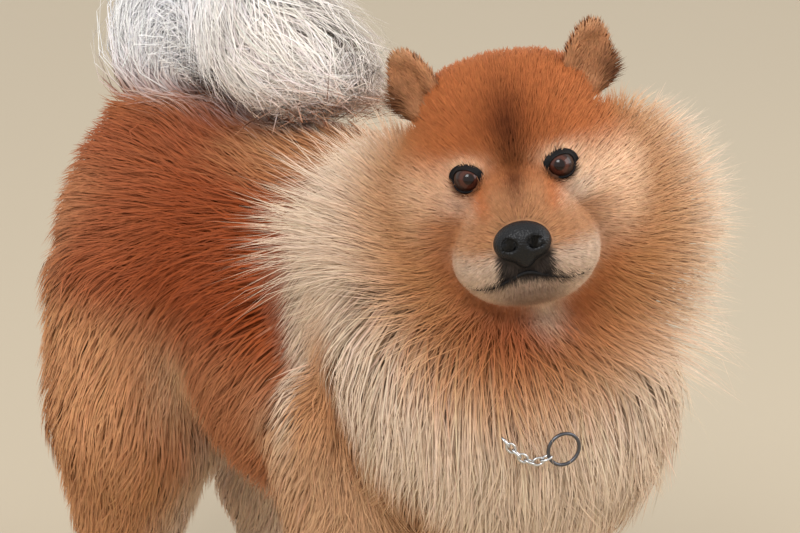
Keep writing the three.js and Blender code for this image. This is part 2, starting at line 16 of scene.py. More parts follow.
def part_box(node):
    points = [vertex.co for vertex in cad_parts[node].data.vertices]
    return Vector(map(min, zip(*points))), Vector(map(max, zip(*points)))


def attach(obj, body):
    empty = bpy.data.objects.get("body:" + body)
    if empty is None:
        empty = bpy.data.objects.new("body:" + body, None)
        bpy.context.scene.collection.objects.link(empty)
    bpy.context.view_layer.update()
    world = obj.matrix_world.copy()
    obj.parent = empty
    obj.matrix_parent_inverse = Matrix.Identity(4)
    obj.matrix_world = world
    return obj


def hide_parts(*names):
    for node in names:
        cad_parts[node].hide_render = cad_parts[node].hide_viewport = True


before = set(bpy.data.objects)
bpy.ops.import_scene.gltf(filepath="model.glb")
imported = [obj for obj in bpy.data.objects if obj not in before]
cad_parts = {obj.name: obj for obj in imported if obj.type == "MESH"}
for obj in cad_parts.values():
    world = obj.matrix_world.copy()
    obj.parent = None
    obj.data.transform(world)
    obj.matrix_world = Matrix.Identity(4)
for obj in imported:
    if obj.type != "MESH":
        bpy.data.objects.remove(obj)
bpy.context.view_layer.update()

# Driving sizes, the same as in the part's source
GAP = 0.35
LEG_SPREAD = 80
FORE_Y = -176
HIND_Y = 222
HIND_PAW_Y = HIND_Y - 6
HEAD_AT = (-35, -305, 570)
HEAD_YAW, HEAD_PITCH, HEAD_ROLL = (math.radians(a) for a in (-39, -4, -10))
EYE_RADIUS = 11.5
SEED = 4127

rng = np.random.default_rng(SEED)


def point(*xyz):
    return np.array(xyz, float)


RING_AT = point(-50, -378, 373)
PICTURE_RIGHT = point(0.809, -0.588, 0)


def unit(v):
    return v / np.maximum(np.linalg.norm(v, axis=-1, keepdims=True), 1e-9)


def fade(x, low, high):
    """0 at low, 1 at high, smooth between them. low may be over high."""
    t = np.clip((x - low) / (high - low), 0, 1)
    return t * t * (3 - 2 * t)


def blend(a, b, share):
    share = np.asarray(share)
    return a + (b - a) * (share[..., None] if share.ndim else share)


# The head's frame
def turn(axis, angle):
    return np.array(Matrix.Rotation(angle, 3, axis))


HEAD_TURN = turn("Z", HEAD_YAW) @ turn("X", HEAD_PITCH) @ turn("Y", HEAD_ROLL)


def from_head(q):
    return np.asarray(q, float) @ HEAD_TURN.T + HEAD_AT


def to_head(p):
    return (p - HEAD_AT) @ HEAD_TURN


# The dog stands in the part's frame moved by this much, which its paws show.
PAW_LOW_X = -33.5
PAW_BACK_Y = 28
paws_low = [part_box(f"forepaw_{side}")[0] for side in ("left", "right")]
MOVED = point(
    (paws_low[0].x + paws_low[1].x) / 2 * 1000 - PAW_LOW_X,
    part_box("forepaw_left")[1].y * 1000 - FORE_Y - PAW_BACK_Y,
    0,
)


def metres(p):
    return (np.asarray(p, float) + MOVED) / 1000


# Masses of flesh. Round ones are ellipsoids, long ones tapered limbs; coat is the depth of hair over them.
def round_mass(centre, size, coat):
    return {"centre": point(*centre), "size": point(*size), "coat": coat}


def long_mass(start, end, start_radius, end_radius, coat):
    return {"from": point(*start), "to": point(*end), "radii": (start_radius, end_radius), "coat": coat}


SIDES = {"left": 1, "right": -1}
eye_centres = {}
for word in SIDES:
    low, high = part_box(f"eye_{word}")
    eye_centres[word] = np.array((low + high) / 2) * 1000 - MOVED

TRUNK = [
    round_mass((0, -240, 392), (100, 80, 110), 76),
    round_mass((0, -60, 374), (104, 150, 126), 56),
    round_mass((0, 96, 394), (94, 140, 96), 50),
    round_mass((0, 194, 394), (106, 92, 98), 50),
    round_mass((0, 234, 446), (64, 42, 50), 46),
]
NECK = [
    long_mass((0, -165, 440), from_head((0, 86, -58)), 90, 74, 66),
    round_mass(from_head((0, 66, -56)), (80, 58, 76), 58),
]


def fore_leg(side):
    x = LEG_SPREAD * side
    return [
        long_mass((80 * side, -158, 330), (x, -172, 232), 54, 42, 34),
        long_mass((x, -172, 232), (x, FORE_Y, 96), 38, 29, 18),
        long_mass((x, FORE_Y, 96), (x, FORE_Y - 10, 36), 27, 26, 11),
    ]


def hind_leg(side):
    x = LEG_SPREAD * side
    return [
        long_mass((78 * side, 172, 362), (98 * side, 168, 262), 70, 55, 40),
        long_mass((98 * side, 168, 262), (x, HIND_Y, 142), 50, 31, 34),
        long_mass((x, HIND_Y, 142), (x, HIND_Y - 14, 36), 25, 25, 14),
    ]


TOES = (-24, -8.5, 8.5, 24)
PAW_FUR = 4.5


def toe_at(x, side, heel_y):
    return point(LEG_SPREAD * side + x, heel_y - 42 + abs(x) / 2, 15)


def paw(side, heel_y):
    pad_size = point(33, 40, 31) - PAW_FUR
    pad = round_mass((LEG_SPREAD * side, heel_y - 12, 24), pad_size, PAW_FUR)
    toes = [round_mass(toe_at(x, side, heel_y), (9.5 - 2, 22 - 3, 16 - 3), 3) for x in TOES]
    return [pad, *toes]


TAIL_PATH = [(0, 205, 478), (0, 243, 545), (2, 222, 590), (8, 160, 604), (16, 74, 586)]
TAIL_RADII = (26, 22, 19, 15, 10)
TAIL_COAT = 50
TAIL = [
    long_mass(*ends, *radii, TAIL_COAT)
    for ends, radii in zip(zip(TAIL_PATH, TAIL_PATH[1:]), zip(TAIL_RADII, TAIL_RADII[1:]))
]
HEAD = [
    round_mass((0, 54, 14), (62, 70, 60), 16),
    round_mass((0, -24, -20), (25, 44, 22), 4),
    round_mass((0, -34, -45), (42, 44, 33), 5),
    round_mass((0, -38, -75), (27, 30, 12), 5),
    round_mass((0, 16, -62), (46, 56, 32), 24),
]
for side in (-1, 1):
    HEAD += [
        round_mass((32 * side, 48, 36), (27, 44, 34), 14),
        round_mass((45 * side, 28, -24), (36, 44, 44), 21),
        round_mass((31 * side, 10, 26), (23, 17, 12), 6),
        round_mass((23 * side, -44, -57), (28, 33, 24), 5),
        round_mass((40 * side, 2, -20), (26, 16, 22), 9),
    ]
LID_MOUND = 10.8
HEAD += [round_mass(to_head(centre), (LID_MOUND,) * 3, 2.5) for centre in eye_centres.values()]
NOSE = [
    round_mass((0, -79, -37), (19, 13, 14), 0),
    round_mass((11, -80, -40), (10, 11, 10), 0),
    round_mass((-11, -80, -40), (10, 11, 10), 0),
    round_mass((0, -78, -50), (7, 10, 9), 0),
]


def distance(mass, p):
    """How far points are outside one mass, negative inside."""
    if "size" in mass:
        q = (p - mass["centre"]) / mass["size"]
        near = np.linalg.norm(q, axis=-1)
        far = np.linalg.norm(q / mass["size"], axis=-1)
        return near * (near - 1) / np.maximum(far, 1e-9)
    along = mass["to"] - mass["from"]
    share = np.clip((p - mass["from"]) @ along / (along @ along), 0, 1)
    radius = mass["radii"][0] + (mass["radii"][1] - mass["radii"][0]) * share
    return np.linalg.norm(p - mass["from"] - share[:, None] * along, axis=-1) - radius


def melt(parts, softness):
    """The common distance and coat of several (distance, coat) pairs, melted together."""
    least = np.minimum.reduce([d for d, _ in parts])
    total = np.zeros_like(least)
    coat = np.zeros_like(least)
    for d, c in parts:
        weight = np.exp((least - d) / softness)
        total += weight
        coat += weight * c
    return least - softness * np.log(total), coat / total


def of_masses(masses, softness, place=None):
    def field(p):
        q = place(p) if place else p
        return melt([(distance(mass, q), mass["coat"]) for mass in masses], softness)
    return field


nose_field = of_masses(NOSE, 3)
PARTS = {
    "trunk": of_masses(TRUNK, 14),
    "neck": of_masses(NECK, 14),
    "head": of_masses(HEAD, 6, to_head),
    "tail": of_masses(TAIL, 8),
}
for word, side in SIDES.items():
    PARTS[f"foreleg_{word}"] = of_masses(fore_leg(side), 8)
    PARTS[f"hindleg_{word}"] = of_masses(hind_leg(side), 8)
    PARTS[f"forepaw_{word}"] = of_masses(paw(side, FORE_Y), 3)
    PARTS[f"hindpaw_{word}"] = of_masses(paw(side, HIND_PAW_Y), 3)
SEAM = 8


def animal(names=tuple(PARTS)):
    """The field of these parts, grown together without seams."""
    return lambda p: melt([PARTS[name](p) for name in names], SEAM)


def height(body, level, p):
    """How far points are above a level of the coat, where 0 is the skin and 1 the tips."""
    skin, coat = body(p)
    return skin - level * coat


def outward(body, level, p, step=0.6):
    """The height of points over a level and the direction that leads straight out of it."""
    here = height(body, level, p)
    slope = np.stack([height(body, level, p + step * axis) - here for axis in np.eye(3)], -1)
    return here, unit(slope)


def settle(body, level, p, passes=3):
    """Points moved straight in or out until they lie on a level of the coat."""
    for _ in range(passes):
        here, out = outward(body, level, p)
        p = p - here[:, None] * out
    return p


# The mouth is a groove between the lips, from below the nose to both corners.
MOUTH_HALF = [(0, -86, -64), (13, -84, -68), (28, -75, -71), (43, -58, -69), (53, -34, -63)]
MOUTH = [(-x, y, z) for x, y, z in MOUTH_HALF[:0:-1]] + MOUTH_HALF
LIP_GROOVE = [(0, -90, -52), (0, -88, -62)]


def off_path(points, q):
    """Distance from points to a path of straight steps."""
    best = np.full(len(q), 1e9)
    for a, b in zip(points, points[1:]):
        a, b = point(*a), point(*b)
        share = np.clip((q - a) @ (b - a) / ((b - a) @ (b - a)), 0, 1)
        best = np.minimum(best, np.linalg.norm(q - a - share[:, None] * (b - a), axis=1))
    return best


# Colours by name, as seen on the dog
def colour(text):
    """The linear light of a six-digit screen colour."""
    value = np.array([int(text[i:i + 2], 16) for i in (0, 2, 4)]) / 255
    return np.where(value < 0.04045, value / 12.92, ((value + 0.055) / 1.055) ** 2.4)


MAHOGANY = colour("94431b")
CHESTNUT = colour("9f5430")
RED = colour("ab683c")
ORANGE = colour("be865a")
TAN = colour("caa07c")
CREAM = colour("e0c9b2")
PALE = colour("f5eee8")
WHITE = colour("fcfcff")
BROWN = colour("3f1709")
BLACK = colour("121215")
SAND = colour("eecaa8")
RUST = colour("8c4a26")
MUZZLE = colour("ab7a56")
ASH = colour("c9b09b")
AMBER = colour("d0986c")
BRONZE = colour("b27c50")
CROWN = colour("b56a3e")
CHIN = colour("82695a")
EAR_BROWN = colour("c0875f")


# Markings, with some painted light and shade among them
def box_fade(x, low, high, soft):
    """1 between low and high, fading to 0 over soft on both sides."""
    return fade(x, low - soft, low + soft) * (1 - fade(x, high - soft, high + soft))


def mane_edge(p):
    """How far points are in front of the line on the shoulder where the mane ends."""
    return -172 - 0.82 * np.clip(460 - p[:, 2], 0, None) - p[:, 1]


BAND_HEIGHTS = (340, 400, 443, 486, 542)
BAND_PLACES = (-156, -132, -122, -148, -172)


def body_colour(p):
    """The body's markings: mahogany back and flanks, orange legs, cream band behind the mane; painted light
    on the top of the back, painted shade in front of the band.
    """
    x, y, z = p.T
    side = np.abs(x)
    tint = np.tile(MAHOGANY, (len(p), 1))
    # Partly the coat's own lighter topline, partly painted light that lifts the top of the back out of the
    # tail's shadow.
    tint = blend(tint, ORANGE, 0.85 * fade(z, 490, 535) * fade(y, 150, 40))
    tint = blend(tint, CHESTNUT, fade(y, 60, 160))
    tint = blend(tint, AMBER, 0.45 * fade(y, 150, 230) * fade(z, 510, 450))
    tint = blend(tint, AMBER, 0.4 * fade(z, 410, 340))
    tint = blend(tint, AMBER, 0.9 * fade(y, 60, 120) * fade(z, 400, 330))
    tint = blend(tint, TAN, 0.9 * box_fade(y, 26, 84, 14) * box_fade(z, 255, 345, 25) * fade(side, 60, 110))
    tint = blend(tint, CREAM, 0.8 * fade(z, 290, 230) * fade(side, 120, 60) * (1 - fade(y, -110, -170)))
    in_front = np.interp(z, BAND_HEIGHTS, BAND_PLACES) - y
    # Painted shade: the orange-brown strip between the cream band and the mane stands for the mane's shadow
    # on the shoulder.
    tint = blend(tint, ORANGE, fade(in_front, -6, 14) * fade(z, 560, 520))
    tint = blend(tint, CREAM, 0.9 * box_fade(in_front, -12, 14, 8) * fade(z, 270, 330) * fade(side, 40, 90))
    tint = blend(tint, TAN, 0.9 * fade(z, 380, 300) * fade(y, -60, -120))
    return blend(tint, ruff_colour(p), fade(mane_edge(p), -14, 8) * fade(z, 215, 270))


def ruff_colour(p):
    """The mane's markings: deep red round the cheeks and under the chin, darker there as painted shadow, tan
    and then cream further out.
    """
    q = to_head(p)
    far = np.hypot(q[:, 0] * np.where(q[:, 0] < 0, 1.22, 1.1), q[:, 2] + 30)
    far = far + 0.5 * np.clip(q[:, 1] - 30, 0, None)
    tint = blend(RED, BRONZE, fade(far, 84, 112))
    tint = blend(tint, TAN, fade(far, 120, 158))
    tint = blend(tint, CREAM, fade(far, 150, 196))
    # Painted shadow: darker chestnut just under the chin, where the head shades the mane.
    chin_shadow = np.exp(-(((q[:, 0] + 8) / 62) ** 2 + ((q[:, 2] + 118) / 34) ** 2))
    tint = blend(tint, CHESTNUT, 0.9 * chin_shadow)
    patch = np.exp(-(((q[:, 0] - 8) / 13) ** 2 + ((q[:, 2] + 104) / 20) ** 2))
    return blend(tint, CREAM, 0.7 * patch)


def spot(across, up, wide, tall):
    """1 in the middle of an oval patch, fading out over its half sizes."""
    return np.exp(-((across / wide) ** 2 + (up / tall) ** 2))


def head_colour(p):
    """The head's markings, in its own frame."""
    x, y, z = to_head(p).T
    side = np.abs(x)
    tint = np.tile(CROWN, (len(p), 1))
    cheek = fade(side, 28, 50) * fade(z, 32, -2)
    tint = blend(tint, SAND, 0.95 * cheek * fade(y, 84, 44))
    tint = blend(tint, ORANGE, 0.8 * fade(z, -62, -84) * fade(y, -50, -20))
    tint = blend(tint, RUST, 0.85 * spot(x, z - 46, 36, 28))
    tint = blend(tint, BROWN, 0.8 * spot(x, z - 38, 15, 32))
    tint = blend(tint, SAND, 0.9 * spot(side - 36, z - 14, 17, 8))
    tint = blend(tint, MUZZLE, 0.9 * fade(z, 14, -8) * fade(side, 30, 18))
    tint = blend(tint, MUZZLE, 0.92 * fade(y, -12, -36) * fade(z, -12, -26))
    tint = blend(tint, CREAM, 0.95 * spot(side - 49, z + 12, 12, 9))
    tint = blend(tint, BROWN, 0.95 * spot(x, z - 14, 9, 22))
    flews = fade(z, -38, -56) * fade(y, -14, -34)
    tint = blend(tint, ASH, 0.9 * flews)
    dark = fade(side, 26, 19) * fade(y, -52, -62) * box_fade(z, -71, -46, 4)
    tint = blend(tint, BLACK, 0.95 * dark)
    rim = fade(off_path(MOUTH, to_head(p)), 6.5, 3) * fade(side, 54, 40)
    tint = blend(tint, BLACK, 0.8 * rim)
    chin = fade(side, 40, 8) * fade(z, -68, -78) * fade(y, -30, -50)
    tint = blend(tint, CHIN, 0.9 * chin)
    for word, toward in SIDES.items():
        across, up, ahead = eye_view(word, p)
        near = fade(almond(across * toward, up), 1.42, 1.18) * (ahead > 0)
        tint = blend(tint, BLACK, 0.92 * near)
    return tint


def tail_colour(p):
    """White plume, off-white towards its tip, red at its base."""
    tint = np.tile(WHITE, (len(p), 1))
    tint = blend(tint, PALE, fade(p[:, 1], 150, 60))
    base = fade(p[:, 2], 572, 530) * fade(p[:, 1], 120, 170)
    return blend(tint, RED, base)


# The skin: every mass as a rough shape, melted together by a remesh and then laid exactly on the flesh
SKIN_VOXEL = 0.005
FACE_REACH = 30
scene = bpy.context.scene


def add_mass(bm, mass, place=None):
    """A rough shape for one mass, in the dog's frame."""
    if "size" in mass:
        made = bmesh.ops.create_uvsphere(bm, u_segments=20, v_segments=14, radius=1)["verts"]
        shift, scale = mass["centre"], mass["size"]
        ends = [(made, lambda co: co * scale + shift)]
    else:
        axis = Vector(mass["to"] - mass["from"])
        spin = np.array(axis.to_track_quat("Z", "Y").to_matrix())
        ends = []
        for middle, radius in zip((mass["from"], mass["to"]), mass["radii"]):
            ball = bmesh.ops.create_uvsphere(bm, u_segments=20, v_segments=14, radius=radius)["verts"]
            ends.append((ball, lambda co, m=middle: co + m))
        low, high = mass["radii"]
        cone = bmesh.ops.create_cone(
            bm, cap_ends=True, segments=20, radius1=low, radius2=high, depth=axis.length)["verts"]
        ends.append((cone, lambda co: co @ spin.T + (mass["from"] + mass["to"]) / 2))
    for verts, move in ends:
        co = move(np.array([v.co for v in verts]))
        co = place(co) if place else co
        for vert, new in zip(verts, co):
            vert.co = new


def new_object(name, mesh, material=None):
    obj = bpy.data.objects.new(name, mesh)
    scene.collection.objects.link(obj)
    if material:
        mesh.materials.append(material)
    return obj


def corners(mesh):
    """A mesh's points and triangles as arrays."""
    co = np.empty(len(mesh.vertices) * 3, np.float32)
    mesh.vertices.foreach_get("co", co)
    mesh.calc_loop_triangles()
    faces = np.empty(len(mesh.loop_triangles) * 3, np.int32)
    mesh.loop_triangles.foreach_get("vertices", faces)
    return co.reshape(-1, 3).astype(float), faces.reshape(-1, 3)


def put_corners(mesh, co):
    mesh.vertices.foreach_set("co", np.asarray(co, np.float32).ravel())
    mesh.update()


def remeshed(bm, voxel):
    """The outer surface of joined shapes, as an even mesh of quads. bm is in millimetres."""
    bmesh.ops.scale(bm, vec=(0.001,) * 3, verts=bm.verts)
    mesh = bpy.data.meshes.new("rough")
    bm.to_mesh(mesh)
    bm.free()
    obj = new_object("rough", mesh)
    remesh = obj.modifiers.new("even", "REMESH")
    remesh.mode = "VOXEL"
    remesh.voxel_size = voxel
    graph = bpy.context.evaluated_depsgraph_get()
    even = bpy.data.meshes.new_from_object(obj.evaluated_get(graph))
    bpy.data.objects.remove(obj)
    return even


def finer(mesh, wanted):
    """Cuts each face in four where wanted says so of its corners."""
    bm = bmesh.new()
    bm.from_mesh(mesh)
    co = np.array([v.co for v in bm.verts]) * 1000
    chosen = wanted(co)
    edges = [e for e in bm.edges if chosen[e.verts[0].index] and chosen[e.verts[1].index]]
    bmesh.ops.subdivide_edges(bm, edges=edges, cuts=1, use_grid_fill=True)
    bm.to_mesh(mesh)
    bm.free()


# The opening between the lids is a long almond that looks a little outwards, its outer corner raised.
EYE_LENGTH = 22
EYE_HEIGHT = 18
EYE_ABOVE = EYE_HEIGHT * 0.5
EYE_BELOW = EYE_HEIGHT * 0.45
EYE_SLANT = math.radians(22)
EYE_RAISE = math.radians(11)


def eye_axes(word):
    """The opening's own axes in the dog's frame: towards the dog's left, up, and out of the head."""
    side = SIDES[word]
    axes = turn("Z", EYE_SLANT * side) @ turn("Y", -EYE_RAISE * side)
    return [HEAD_TURN @ axes @ point(*way) for way in ((1, 0, 0), (0, 0, 1), (0, -1, 0))]


def eye_view(word, p):
    """Places across, up and ahead of an eye's centre."""
    away = p - eye_centres[word]
    return [away @ axis for axis in eye_axes(word)]


def almond(x, y):
    """Under 1 inside the opening, over 1 outside. x grows towards the outer corner."""
    wide = EYE_LENGTH / 2
    tall = np.where(y > 0, EYE_ABOVE, EYE_BELOW)
    return np.sqrt((x / wide) ** 2 + (np.abs(y) / tall) ** 1.6)


# How the skin is opened at the eyes and pressed in at the mouth, and how far its soles are over the floor
SKIN_OPENING = 1.08
BEHIND_EYE = 1.2
MOUTH_DEPTH = 4.5
GROOVE_DEPTH = 2
SOLE = 0.6


def build_skin():
    bm = bmesh.new()
    for mass in TRUNK + NECK + TAIL:
        add_mass(bm, mass)
    for mass in HEAD:
        add_mass(bm, mass, from_head)
    for side in (1, -1):
        for mass in fore_leg(side) + hind_leg(side) + paw(side, FORE_Y) + paw(side, HIND_PAW_Y):
            add_mass(bm, mass)
    mesh = remeshed(bm, SKIN_VOXEL)
    finer(mesh, lambda p: to_head(p)[:, 1] < FACE_REACH)
    finer(mesh, lambda p: (to_head(p)[:, 1] < 5) & (np.abs(to_head(p)[:, 0]) < 62))
    co, _ = corners(mesh)
    co = settle(animal(), 0, co * 1000, passes=4)
    q = to_head(co)
    for word, side in SIDES.items():
        x, y, ahead = eye_view(word, co)
        opened = (ahead > 0) & (almond(x * side, y) < SKIN_OPENING)
        away = co - eye_centres[word]
        shrunk = unit(away) * (EYE_RADIUS - BEHIND_EYE)
        co = np.where(opened[:, None], eye_centres[word] + shrunk, co)
    pressed = MOUTH_DEPTH * fade(off_path(MOUTH, q), 6, 1)
    pressed = pressed + GROOVE_DEPTH * fade(off_path(LIP_GROOVE, q), 4, 1)
    co = co + (pressed[:, None] * unit(point(0, 0.9, 0.1) @ HEAD_TURN.T))
    co[:, 2] = np.maximum(co[:, 2], SOLE)
    put_corners(mesh, metres(co))
    mesh.polygons.foreach_set("use_smooth", [True] * len(mesh.polygons))
    return new_object("skin", mesh), co


skin, skin_co = build_skin()
skin_faces = corners(skin.data)[1]
middles = skin_co[skin_faces].mean(1)
part_names = list(PARTS)
part_heights = np.stack([PARTS[name](middles)[0] for name in part_names])
nearest_part = np.array(part_names)[part_heights.argmin(0)]
first, second, third = skin_co[skin_faces].transpose(1, 0, 2)
areas = np.linalg.norm(np.cross(second - first, third - first), axis=1) / 2

RUFF_FRONT = 36
THROAT_Z = -78
THROAT_SLOPE = math.radians(30)


def face_room(p):
    """Positive in the space before the cheeks and over the throat, which no long hair enters."""
    q = to_head(p)
    before_ruff = RUFF_FRONT - q[:, 1]
    over_throat = (q[:, 2] - THROAT_Z) * math.cos(THROAT_SLOPE) + before_ruff * math.sin(THROAT_SLOPE)
    return np.minimum(before_ruff, over_throat)


# Materials
def new_material(name, roughness, **sockets):
    material = bpy.data.materials.new(name)
    material.use_nodes = True
    shader = material.node_tree.nodes["Principled BSDF"]
    shader.inputs["Roughness"].default_value = roughness
    for socket, value in sockets.items():
        shader.inputs[socket.replace("_", " ")].default_value = value
    return material, material.node_tree, shader


def marked_material(name, roughness, grain, low, high, **sockets):
    """A material that takes its colours from the mesh, with finer light and dark places over them."""
    material, tree, shader = new_material(name, roughness, **sockets)
    marks = tree.nodes.new("ShaderNodeVertexColor")
    marks.layer_name = "Markings"
    place = tree.nodes.new("ShaderNodeTexCoord")
    noise = tree.nodes.new("ShaderNodeTexNoise")
    noise.inputs["Scale"].default_value = grain
    noise.inputs["Detail"].default_value = 3
    shade = tree.nodes.new("ShaderNodeMapRange")
    shade.inputs["From Min"].default_value = 0.3
    shade.inputs["From Max"].default_value = 0.7
    shade.inputs["To Min"].default_value = low
    shade.inputs["To Max"].default_value = high
    mixed = tree.nodes.new("ShaderNodeVectorMath")
    mixed.operation = "SCALE"
    tree.links.new(place.outputs["Object"], noise.inputs["Vector"])
    tree.links.new(noise.outputs["Fac"], shade.inputs["Value"])
    tree.links.new(marks.outputs["Color"], mixed.inputs[0])
    tree.links.new(shade.outputs["Result"], mixed.inputs["Scale"])
    tree.links.new(mixed.outputs["Vector"], shader.inputs["Base Color"])
    return material


def plain_material(name, tint, roughness, grain=600, bump=0.0, spread=0.3, pattern="ShaderNodeTexNoise",
                   **sockets):
    """One colour, with uneven roughness and a fine bump."""
    material, tree, shader = new_material(name, roughness, **sockets)
    place = tree.nodes.new("ShaderNodeTexCoord")
    texture = tree.nodes.new(pattern)
    texture.inputs["Scale"].default_value = grain
    value = texture.outputs["Distance" if pattern == "ShaderNodeTexVoronoi" else "Fac"]
    shade = tree.nodes.new("ShaderNodeMapRange")
    shade.inputs["To Min"].default_value = max(roughness - 0.12, 0.02)
    shade.inputs["To Max"].default_value = roughness + 0.14
    ramp = tree.nodes.new("ShaderNodeMix")
    ramp.data_type = "RGBA"
    ramp.inputs["A"].default_value = (*(tint * (1 - spread)), 1)
    ramp.inputs["B"].default_value = (*np.clip(tint * (1 + spread), 0, 1), 1)
    height_node = tree.nodes.new("ShaderNodeBump")
    height_node.inputs["Strength"].default_value = bump
    height_node.inputs["Distance"].default_value = 0.0006
    tree.links.new(place.outputs["Object"], texture.inputs["Vector"])
    tree.links.new(value, shade.inputs["Value"])
    tree.links.new(shade.outputs["Result"], shader.inputs["Roughness"])
    tree.links.new(value, ramp.inputs["Factor"])
    tree.links.new(ramp.outputs["Result"], shader.inputs["Base Color"])
    tree.links.new(value, height_node.inputs["Height"])
    tree.links.new(height_node.outputs["Normal"], shader.inputs["Normal"])
    return material


fur = marked_material("fur", 0.75, 160, 0.86, 1.12, Specular_IOR_Level=0.08)
hide = marked_material("hide", 0.7, 300, 0.8, 1.1, Specular_IOR_Level=0.2)
eye_surface = marked_material("eye", 0.3, 900, 0.7, 1.25, Coat_Weight=0.55, Coat_Roughness=0.03,
                              Specular_IOR_Level=0.05)
lid_skin = plain_material("lid skin", colour("0d0c0e"), 0.6, 700, 0.4, Specular_IOR_Level=0.2)
nose_leather = plain_material("nose leather", colour("0b0c10"), 0.4, 620, 0.7,
                              pattern="ShaderNodeTexVoronoi", Specular_IOR_Level=0.3)
claw_horn = plain_material("claw horn", colour("3a322c"), 0.35, 400, 0.2)
bright_steel = plain_material("steel", colour("c9cacc"), 0.22, 300, 0.1, Metallic=1.0)
dull_steel = plain_material("dull steel", colour("5c5d63"), 0.34, 300, 0.2, Metallic=1.0)


def paint(mesh, tint):
    """Keeps a colour for each point of a mesh."""
    layer = mesh.color_attributes.new("Markings", "FLOAT_COLOR", "POINT")
    rgba = np.ones((len(tint), 4), np.float32)
    rgba[:, :3] = tint
    layer.data.foreach_set("color", rgba.ravel())


MARKING_LEVEL = 0.6
MARKING_BLEND = 6


def markings(p):
    """The coat's colour at places in it, with every part's markings fading into the next."""
    shades = {
        "head": head_colour(p),
        "neck": ruff_colour(p),
        "tail": tail_colour(p),
        "body": body_colour(p),
    }
    over = {name: height(PARTS[name], MARKING_LEVEL, p) for name in ("head", "neck", "tail")}
    others = [height(PARTS[name], MARKING_LEVEL, p) for name in PARTS if name not in over]
    over["body"] = np.minimum.reduce(others)
    least = np.minimum.reduce(list(over.values()))
    total = 0
    tint = 0
    for name, far in over.items():
        share = np.exp((least - far) / MARKING_BLEND)
        total = total + share
        tint = tint + shades[name] * share[:, None]
    return tint / total[:, None]


# The hide carries the coat's markings, a little darker as painted shade deep under the coat.
paint(skin.data, markings(skin_co) * 0.95)
skin.data.materials.append(hide)


# The coat
PATCH = 0.003
ROLL = math.radians(20)
TUFT_PLACES = (0, 0.3, 0.75, 1)
TUFT_FULLNESS = (1.2, 1.7, 0.8, 0.2)
FACING_LIGHT = 0.3
SURFACE = {"co": skin_co, "faces": skin_faces, "areas": areas, "middles": middles}


def unwrap(name, surface, chosen):
    """The faces of one region unwrapped on their own: a map place for each corner of each face."""
    used, faces = np.unique(surface["faces"][chosen], return_inverse=True)
    mesh = bpy.data.meshes.new(name)
    mesh.from_pydata(metres(surface["co"][used]).tolist(), [], faces.reshape(-1, 3).tolist())
    obj = new_object(name, mesh)
    bpy.context.view_layer.objects.active = obj
    obj.select_set(True)
    bpy.ops.object.mode_set(mode="EDIT")
    bpy.ops.mesh.select_all(action="SELECT")
    bpy.ops.uv.smart_project(angle_limit=math.radians(66), island_margin=0.004)
    bpy.ops.object.mode_set(mode="OBJECT")
    uv = np.empty(len(mesh.loops) * 2, np.float32)
    mesh.uv_layers.active.data.foreach_get("uv", uv)
    bpy.data.objects.remove(obj)
    bpy.data.meshes.remove(mesh)
    return uv.reshape(-1, 3, 2)


def mesh_of(name, co, faces):
    """A mesh from arrays, for the thousands of tufts."""
    mesh = bpy.data.meshes.new(name)
    mesh.vertices.add(len(co))
    mesh.vertices.foreach_set("co", np.asarray(co, np.float32).ravel())
    mesh.loops.add(faces.size)
    mesh.loops.foreach_set("vertex_index", faces.astype(np.int32).ravel())
    mesh.polygons.add(len(faces))
    mesh.polygons.foreach_set("loop_start", np.arange(0, faces.size, 3, dtype=np.int32))
    mesh.polygons.foreach_set("use_smooth", np.ones(len(faces), bool))
    mesh.update(calc_edges=True)
    return mesh


def gather(p, share, every, strength):
    """Pulls tufts together into locks: each leans to the nearest of the few that lead.

    p has the stations first, then the tufts, then the three coordinates.
    """
    count = p.shape[1]
    leaders = rng.choice(count, max(1, count // every), replace=False)
    tree = KDTree(len(leaders))
    for i, leader in enumerate(leaders):
        tree.insert(p[0, leader], i)
    tree.balance()
    own = leaders[[tree.find(root)[1] for root in p[0]]]
    pull = (strength * share ** 1.4)[:, None, None] * rng.uniform(0.6, 1.1, (1, count, 1))
    return p + (p[:, own] - p) * np.clip(pull, 0, 0.95)


def comb_coat(body, lie, roots, reach, long, stray, rise, stations, depth):
    """The middle line of each tuft, rising through the coat along its lie, and the way out all along it."""
    sway = rng.normal(0, stray, roots.shape)
    p = roots
    line, outs = [], []
    for station in range(stations + 1):
        t = station / stations
        level = reach * t ** rise
        here, out = outward(body, level, p)
        if station:
            way = unit(lie(p)) + sway * (0.5 + t)
            way = unit(way - (way * out).sum(-1, keepdims=True) * out)
            p = p + way * (long / stations)[:, None]
            here, out = outward(body, level, p)
            p = p - np.clip(here, -4 - depth / 2, 4 + depth / 2)[:, None] * out
        line.append(p)
        outs.append(out)
    return np.stack(line), np.stack(outs)


FREE_WIDTH = 172
FREE_HEIGHT = 668
WIDTH_PRESS = 0.45
HEIGHT_PRESS = 0.5
OVER_FLOOR = 0.8


def inside_box(line):
    """Presses the outermost hair in, to the part's width and height, and keeps it over the floor."""
    x, y, z = np.moveaxis(line + MOVED, -1, 0)
    past_side = np.maximum(np.abs(x) - FREE_WIDTH, 0)
    x = x - np.sign(x) * (1 - WIDTH_PRESS) * past_side
    past_top = np.maximum(z - FREE_HEIGHT, 0)
    z = np.maximum(z, OVER_FLOOR) - (1 - HEIGHT_PRESS) * past_top
    return np.stack([x, y, z], -1) - MOVED


